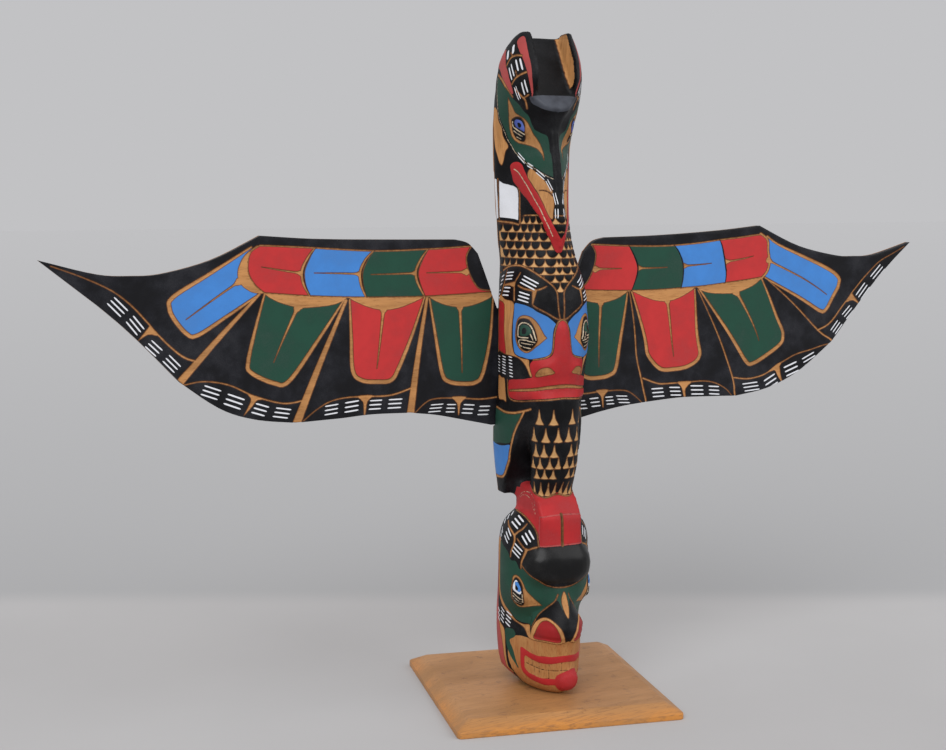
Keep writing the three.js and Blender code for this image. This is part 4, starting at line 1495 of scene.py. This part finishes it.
def studio_paper(name, near, far):
    """Pale paper that grows greyer in the distance behind the pole, with painted shade like a soft
    lamp's falloff.
    """
    material, g, shader, place = new_material(name)
    away = g.node("ShaderNodeVectorMath", operation="DOT_PRODUCT")
    g.put(away.inputs[0], place)
    g.put(away.inputs[1], (math.sin(CAMERA_TURN), math.cos(CAMERA_TURN), 0))
    depth = away.outputs["Value"]
    # Painted shade: the distant paper is darkest just beyond the bend and lighter further off
    painted_falloff = g.math("DIVIDE", PAPER_SHADE, g.plus(depth, PAPER_SHADE_START), clamp=True)
    distant = g.mix(painted_falloff, far, (0, 0, 0))
    nearby = g.mix(g.ramp(g.noise(place, 3.0, 3.0), 0.3, 0.7), near,
                   tuple(PAPER_MOTTLE * c for c in near))
    g.put(shader["Base Color"], g.mix(g.ramp(depth, *PAPER_BEND), nearby, distant))
    g.put(shader["Roughness"], 1.0)
    g.put(shader["Specular IOR Level"], 0.0)
    return material


# Studio

STUDIO_GREY = (194, 194, 196)
STUDIO_SUNS = [
    ("key", (-1.5, -1.9, 2.0), 1.75, 46),
    ("fill", (1.9, -1.7, 1.6), 0.85, 50),
]
FLOOR_HALF = 30               # metres
PAPER_NEAR = (0.94, 0.925, 0.915)
PAPER_MOTTLE = 0.97
# the next two size the painted shade on the distant paper
PAPER_SHADE = 0.66
PAPER_SHADE_START = 2.75
PAPER_BEND = (0.43, 0.55)     # metres behind the pole's middle
CAMERA_PLACE = (-854.737, -1812.451, 680.355)
CAMERA_TURN = 0.3969993
CAMERA_PITCH = -0.119032
CAMERA_ROLL = -0.001646
FOCAL_PIXELS = 1492.843
PHOTO_WIDTH = 946
SENSOR_WIDTH = 36


def photo_camera():
    """The camera at the photograph's place and angle."""
    forward = Vector((math.sin(CAMERA_TURN) * math.cos(CAMERA_PITCH),
                      math.cos(CAMERA_TURN) * math.cos(CAMERA_PITCH), math.sin(CAMERA_PITCH)))
    right = Vector((math.cos(CAMERA_TURN), -math.sin(CAMERA_TURN), 0))
    up = right.cross(forward)
    cosine, sine = math.cos(CAMERA_ROLL), math.sin(CAMERA_ROLL)
    right, up = cosine * right + sine * up, cosine * up - sine * right
    data = bpy.data.cameras.new("photo")
    data.sensor_width = SENSOR_WIDTH
    data.lens = SENSOR_WIDTH * FOCAL_PIXELS / PHOTO_WIDTH
    camera = linked("photo", data)
    turned = Matrix((right, up, -forward)).transposed().to_4x4()
    camera.matrix_world = Matrix.Translation(Vector(CAMERA_PLACE) * MM) @ turned
    return camera


# Settings

FIXED_SHADES = {
    "violet": (88, 108, 182), "violet_deep": (66, 80, 150), "cream": (206, 188, 160),
    # the dark brown on the next line is painted shade along the carved lines' edges
    "black_blue": (26, 27, 33), "groove_edge_shade": (84, 46, 22), "chip": (236, 188, 128),
    # pale blue-grey of the forehead ledge's painted highlight, with its deeper tone
    "worn": (76, 79, 87), "worn_deep": (34, 36, 42), "tan_dark": (126, 70, 30),
    "shade": (96, 74, 58), "bloom": (172, 170, 172), "board_dark": (116, 80, 54),
    "board_edge": (198, 128, 50),
}
DEEP_SHARES = {"red": 0.80, "rose": 0.82, "green": 0.78, "blue": 0.86, "white": 0.90,
               "cream": 0.85}


def colour_property(title, text, steps):
    return FloatVectorProperty(name=title, description=text, default=linear(*steps),
                               subtype="COLOR", size=3, min=0, max=1)


class TotemPaints(bpy.types.PropertyGroup):
    """Colours of the paint and the wood."""
    black: colour_property("Black", "Ground colour of the carving", (22, 22, 25))
    red: colour_property("Red", "Feathers, lips and legs", (196, 56, 57))
    pole_red: colour_property("Pole red", "Red of the three heads and the legs", (178, 43, 46))
    rose: colour_property("Rose", "Worn red of the horns and crest", (186, 80, 78))
    green: colour_property("Green", "Faces and feathers", (38, 76, 62))
    blue: colour_property("Blue", "Feathers and the middle face", (72, 135, 210))
    tan: colour_property("Tan", "Bare cedar of the carved lines", (197, 142, 88))
    white: colour_property("White", "Dashes and the neck's patch", (228, 230, 235))
    wood: colour_property("Back wood", "Bare wood of the back and the jaws", (178, 118, 70))
    board: colour_property("Board", "Top of the base board", (174, 125, 76))
    pole_depth: FloatProperty(name="Pole depth", description="How deep the pole's paints are",
                              default=0.88, min=0.3, max=1)
    pole_ground: FloatProperty(name="Pole ground", description="How deep the pole's black is",
                               default=0.38, min=0.1, max=1)


class TotemCarving(bpy.types.PropertyGroup):
    """Sizes of the finished skin."""
    skin: FloatProperty(name="Skin square", description="Side of the pole's mesh squares",
                        default=3.4 * MM, min=1 * MM, max=10 * MM, unit="LENGTH")
    grid: FloatProperty(name="Wing square", description="Side of the wings' mesh squares",
                        default=6.0 * MM, min=2 * MM, max=20 * MM, unit="LENGTH")
    soften: FloatProperty(name="Softening", description="Most that smoothing moves a point",
                          default=1.0 * MM, min=0, max=4 * MM, unit="LENGTH")
    rounds: IntProperty(name="Smoothing rounds", description="How often the facets are smoothed",
                        default=20, min=0, max=60)
    ease: FloatProperty(name="Eased edge", description="Bevel on the wings' and board's edges",
                        default=1.0 * MM, min=0, max=4 * MM, unit="LENGTH")


def times(colour, factor):
    return tuple(min(1.0, c * factor) for c in colour)


def shades(paints, depth=1.0, ground=1.0):
    """All colours of the paintwork, each with its deeper shade."""
    table = {name: linear(*steps) for name, steps in FIXED_SHADES.items()}
    for name in ("red", "rose", "green", "blue", "wood"):
        table[name] = times(getattr(paints, name), depth)
    table["white"] = tuple(paints.white)
    table["black"] = times(paints.black, ground)
    table["black_blue"] = times(table["black_blue"], ground)
    table["gloss"] = times(table["black"], 0.6)
    table["gloss_deep"] = times(table["black"], 0.4)
    table["tan_light"] = times(paints.tan, 1.22 * depth)
    table["tan_deep"] = times(paints.tan, 0.86 * depth)
    table["board_light"] = times(paints.board, 1.12)
    table["board_deep"] = times(paints.board, 0.86)
    for name, share in DEEP_SHARES.items():
        table[name + "_deep"] = times(table[name], share)
    return table


# Operators

class TOTEM_OT_board(bpy.types.Operator):
    """Finish the base board with eased edges and oiled wood"""
    bl_idname = "totem.board"
    bl_label = "Finish Base Board"

    def execute(self, context):
        bm = welded_copy(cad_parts["base_board"])
        bmesh.ops.dissolve_limit(bm, angle_limit=LEVEL_FACES, verts=bm.verts, edges=bm.edges)
        eased(bm, BOARD_SHARP, context.scene.totem_carving.ease)
        bmesh.ops.triangulate(bm, faces=bm.faces)
        ordered(bm)
        piece = finished(bm, "board_finish", BOARD_SHARP)
        colours = shades(context.scene.totem_paints)
        piece.data.materials.append(board_wood("Oiled Board", colours))
        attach(piece, "root")
        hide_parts("base_board")
        return {"FINISHED"}


class TOTEM_OT_pole(bpy.types.Operator):
    """Carve and paint the pole with its three heads"""
    bl_idname = "totem.pole"
    bl_label = "Carve and Paint Pole"

    def execute(self, context):
        sizes = context.scene.totem_carving
        bm = welded_copy(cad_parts["pole"])
        voxel_skin(bm, sizes.skin)
        soften(bm, sizes.rounds, sizes.soften / MM)
        triangulated(bm)
        lift = skin_lift(BVHTree.FromBMesh(bm))
        piece = painted_piece(bm, "pole_carving", POLE_SPLITS,
                              lambda places: pole_canvas(places, lift))
        paints = context.scene.totem_paints
        colours = shades(paints, paints.pole_depth, paints.pole_ground)
        colours["red"] = tuple(paints.pole_red)
        colours["red_deep"] = times(paints.pole_red, DEEP_SHARES["red"])
        piece.data.materials.append(
            painted_wood("Painted Pole", colours, (1, 1, 0.12), 0.46, 0.19))
        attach(piece, "root")
        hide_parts("pole")
        return {"FINISHED"}


class TOTEM_OT_wings(bpy.types.Operator):
    """Carve and paint the two spread wings"""
    bl_idname = "totem.wings"
    bl_label = "Carve and Paint Wings"

    def execute(self, context):
        sizes = context.scene.totem_carving
        material = painted_wood("Painted Wings", shades(context.scene.totem_paints),
                                (0.12, 1, 1), 0.42, 0.16)
        for side in ("left", "right"):
            front_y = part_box(f"wing_{side}")[0][1] / MM
            bm = flattened_wing(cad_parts[f"wing_{side}"], front_y)
            eased(bm, WING_SHARP, sizes.ease)
            gridded(bm, sizes.grid / MM)
            piece = painted_piece(bm, f"wing_{side}_carving", WING_SPLITS,
                                  lambda places: wing_canvas(places, side == "right", front_y))
            piece.data.materials.append(material)
            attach(piece, "root")
            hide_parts(f"wing_{side}")
        return {"FINISHED"}


class TOTEM_OT_studio(bpy.types.Operator):
    """Set the pale floor, the soft light and the camera"""
    bl_idname = "totem.studio"
    bl_label = "Set Studio"

    def execute(self, context):
        scene = context.scene
        suns = sum(strength * Vector(place).normalized().z for name, place, strength, spread
                   in STUDIO_SUNS) / math.pi
        far = tuple(c / (c + suns) for c in linear(*STUDIO_GREY))
        near = tuple(f * c for f, c in zip(far, PAPER_NEAR))
        bm = bmesh.new()
        bmesh.ops.create_grid(bm, x_segments=1, y_segments=1, size=FLOOR_HALF)
        mesh = bpy.data.meshes.new("studio_floor")
        bm.to_mesh(mesh)
        bm.free()
        floor = linked("studio_floor", mesh)
        mesh.materials.append(studio_paper("Pale Floor", near, far))

        world = bpy.data.worlds.new("Studio")
        world.use_nodes = True
        background = world.node_tree.nodes["Background"]
        background.inputs["Color"].default_value = (*linear(*STUDIO_GREY), 1)
        background.inputs["Strength"].default_value = 1.0
        scene.world = world
        for name, place, strength, spread in STUDIO_SUNS:
            lamp = bpy.data.lights.new(name, "SUN")
            lamp.energy = strength
            lamp.angle = math.radians(spread)
            holder = linked(name, lamp)
            holder.matrix_world = Vector(place).to_track_quat("Z", "Y").to_matrix().to_4x4()
        scene.camera = photo_camera()
        scene.view_settings.view_transform = "Standard"
        return {"FINISHED"}


class TOTEM_PT_panel(bpy.types.Panel):
    """Lists the totem's steps and settings"""
    bl_idname = "TOTEM_PT_panel"
    bl_label = "Totem Pole"
    bl_space_type = "VIEW_3D"
    bl_region_type = "UI"
    bl_category = "Totem"

    def draw(self, context):
        for operator in OPERATORS:
            self.layout.operator(operator.bl_idname)
        for settings in (context.scene.totem_paints, context.scene.totem_carving):
            for name in settings.bl_rna.properties.keys():
                if name not in ("rna_type", "name"):
                    self.layout.prop(settings, name)


OPERATORS = (TOTEM_OT_board, TOTEM_OT_pole, TOTEM_OT_wings, TOTEM_OT_studio)
CLASSES = (TotemPaints, TotemCarving) + OPERATORS + (TOTEM_PT_panel,)


def register():
    for kind in CLASSES:
        bpy.utils.register_class(kind)
    bpy.types.Scene.totem_paints = PointerProperty(type=TotemPaints)
    bpy.types.Scene.totem_carving = PointerProperty(type=TotemCarving)


def unregister():
    del bpy.types.Scene.totem_carving
    del bpy.types.Scene.totem_paints
    for kind in reversed(CLASSES):
        bpy.utils.unregister_class(kind)


def main():
    register()
    bpy.ops.totem.board()
    bpy.ops.totem.pole()
    bpy.ops.totem.wings()
    bpy.ops.totem.studio()


if __name__ == "__main__":
    main()
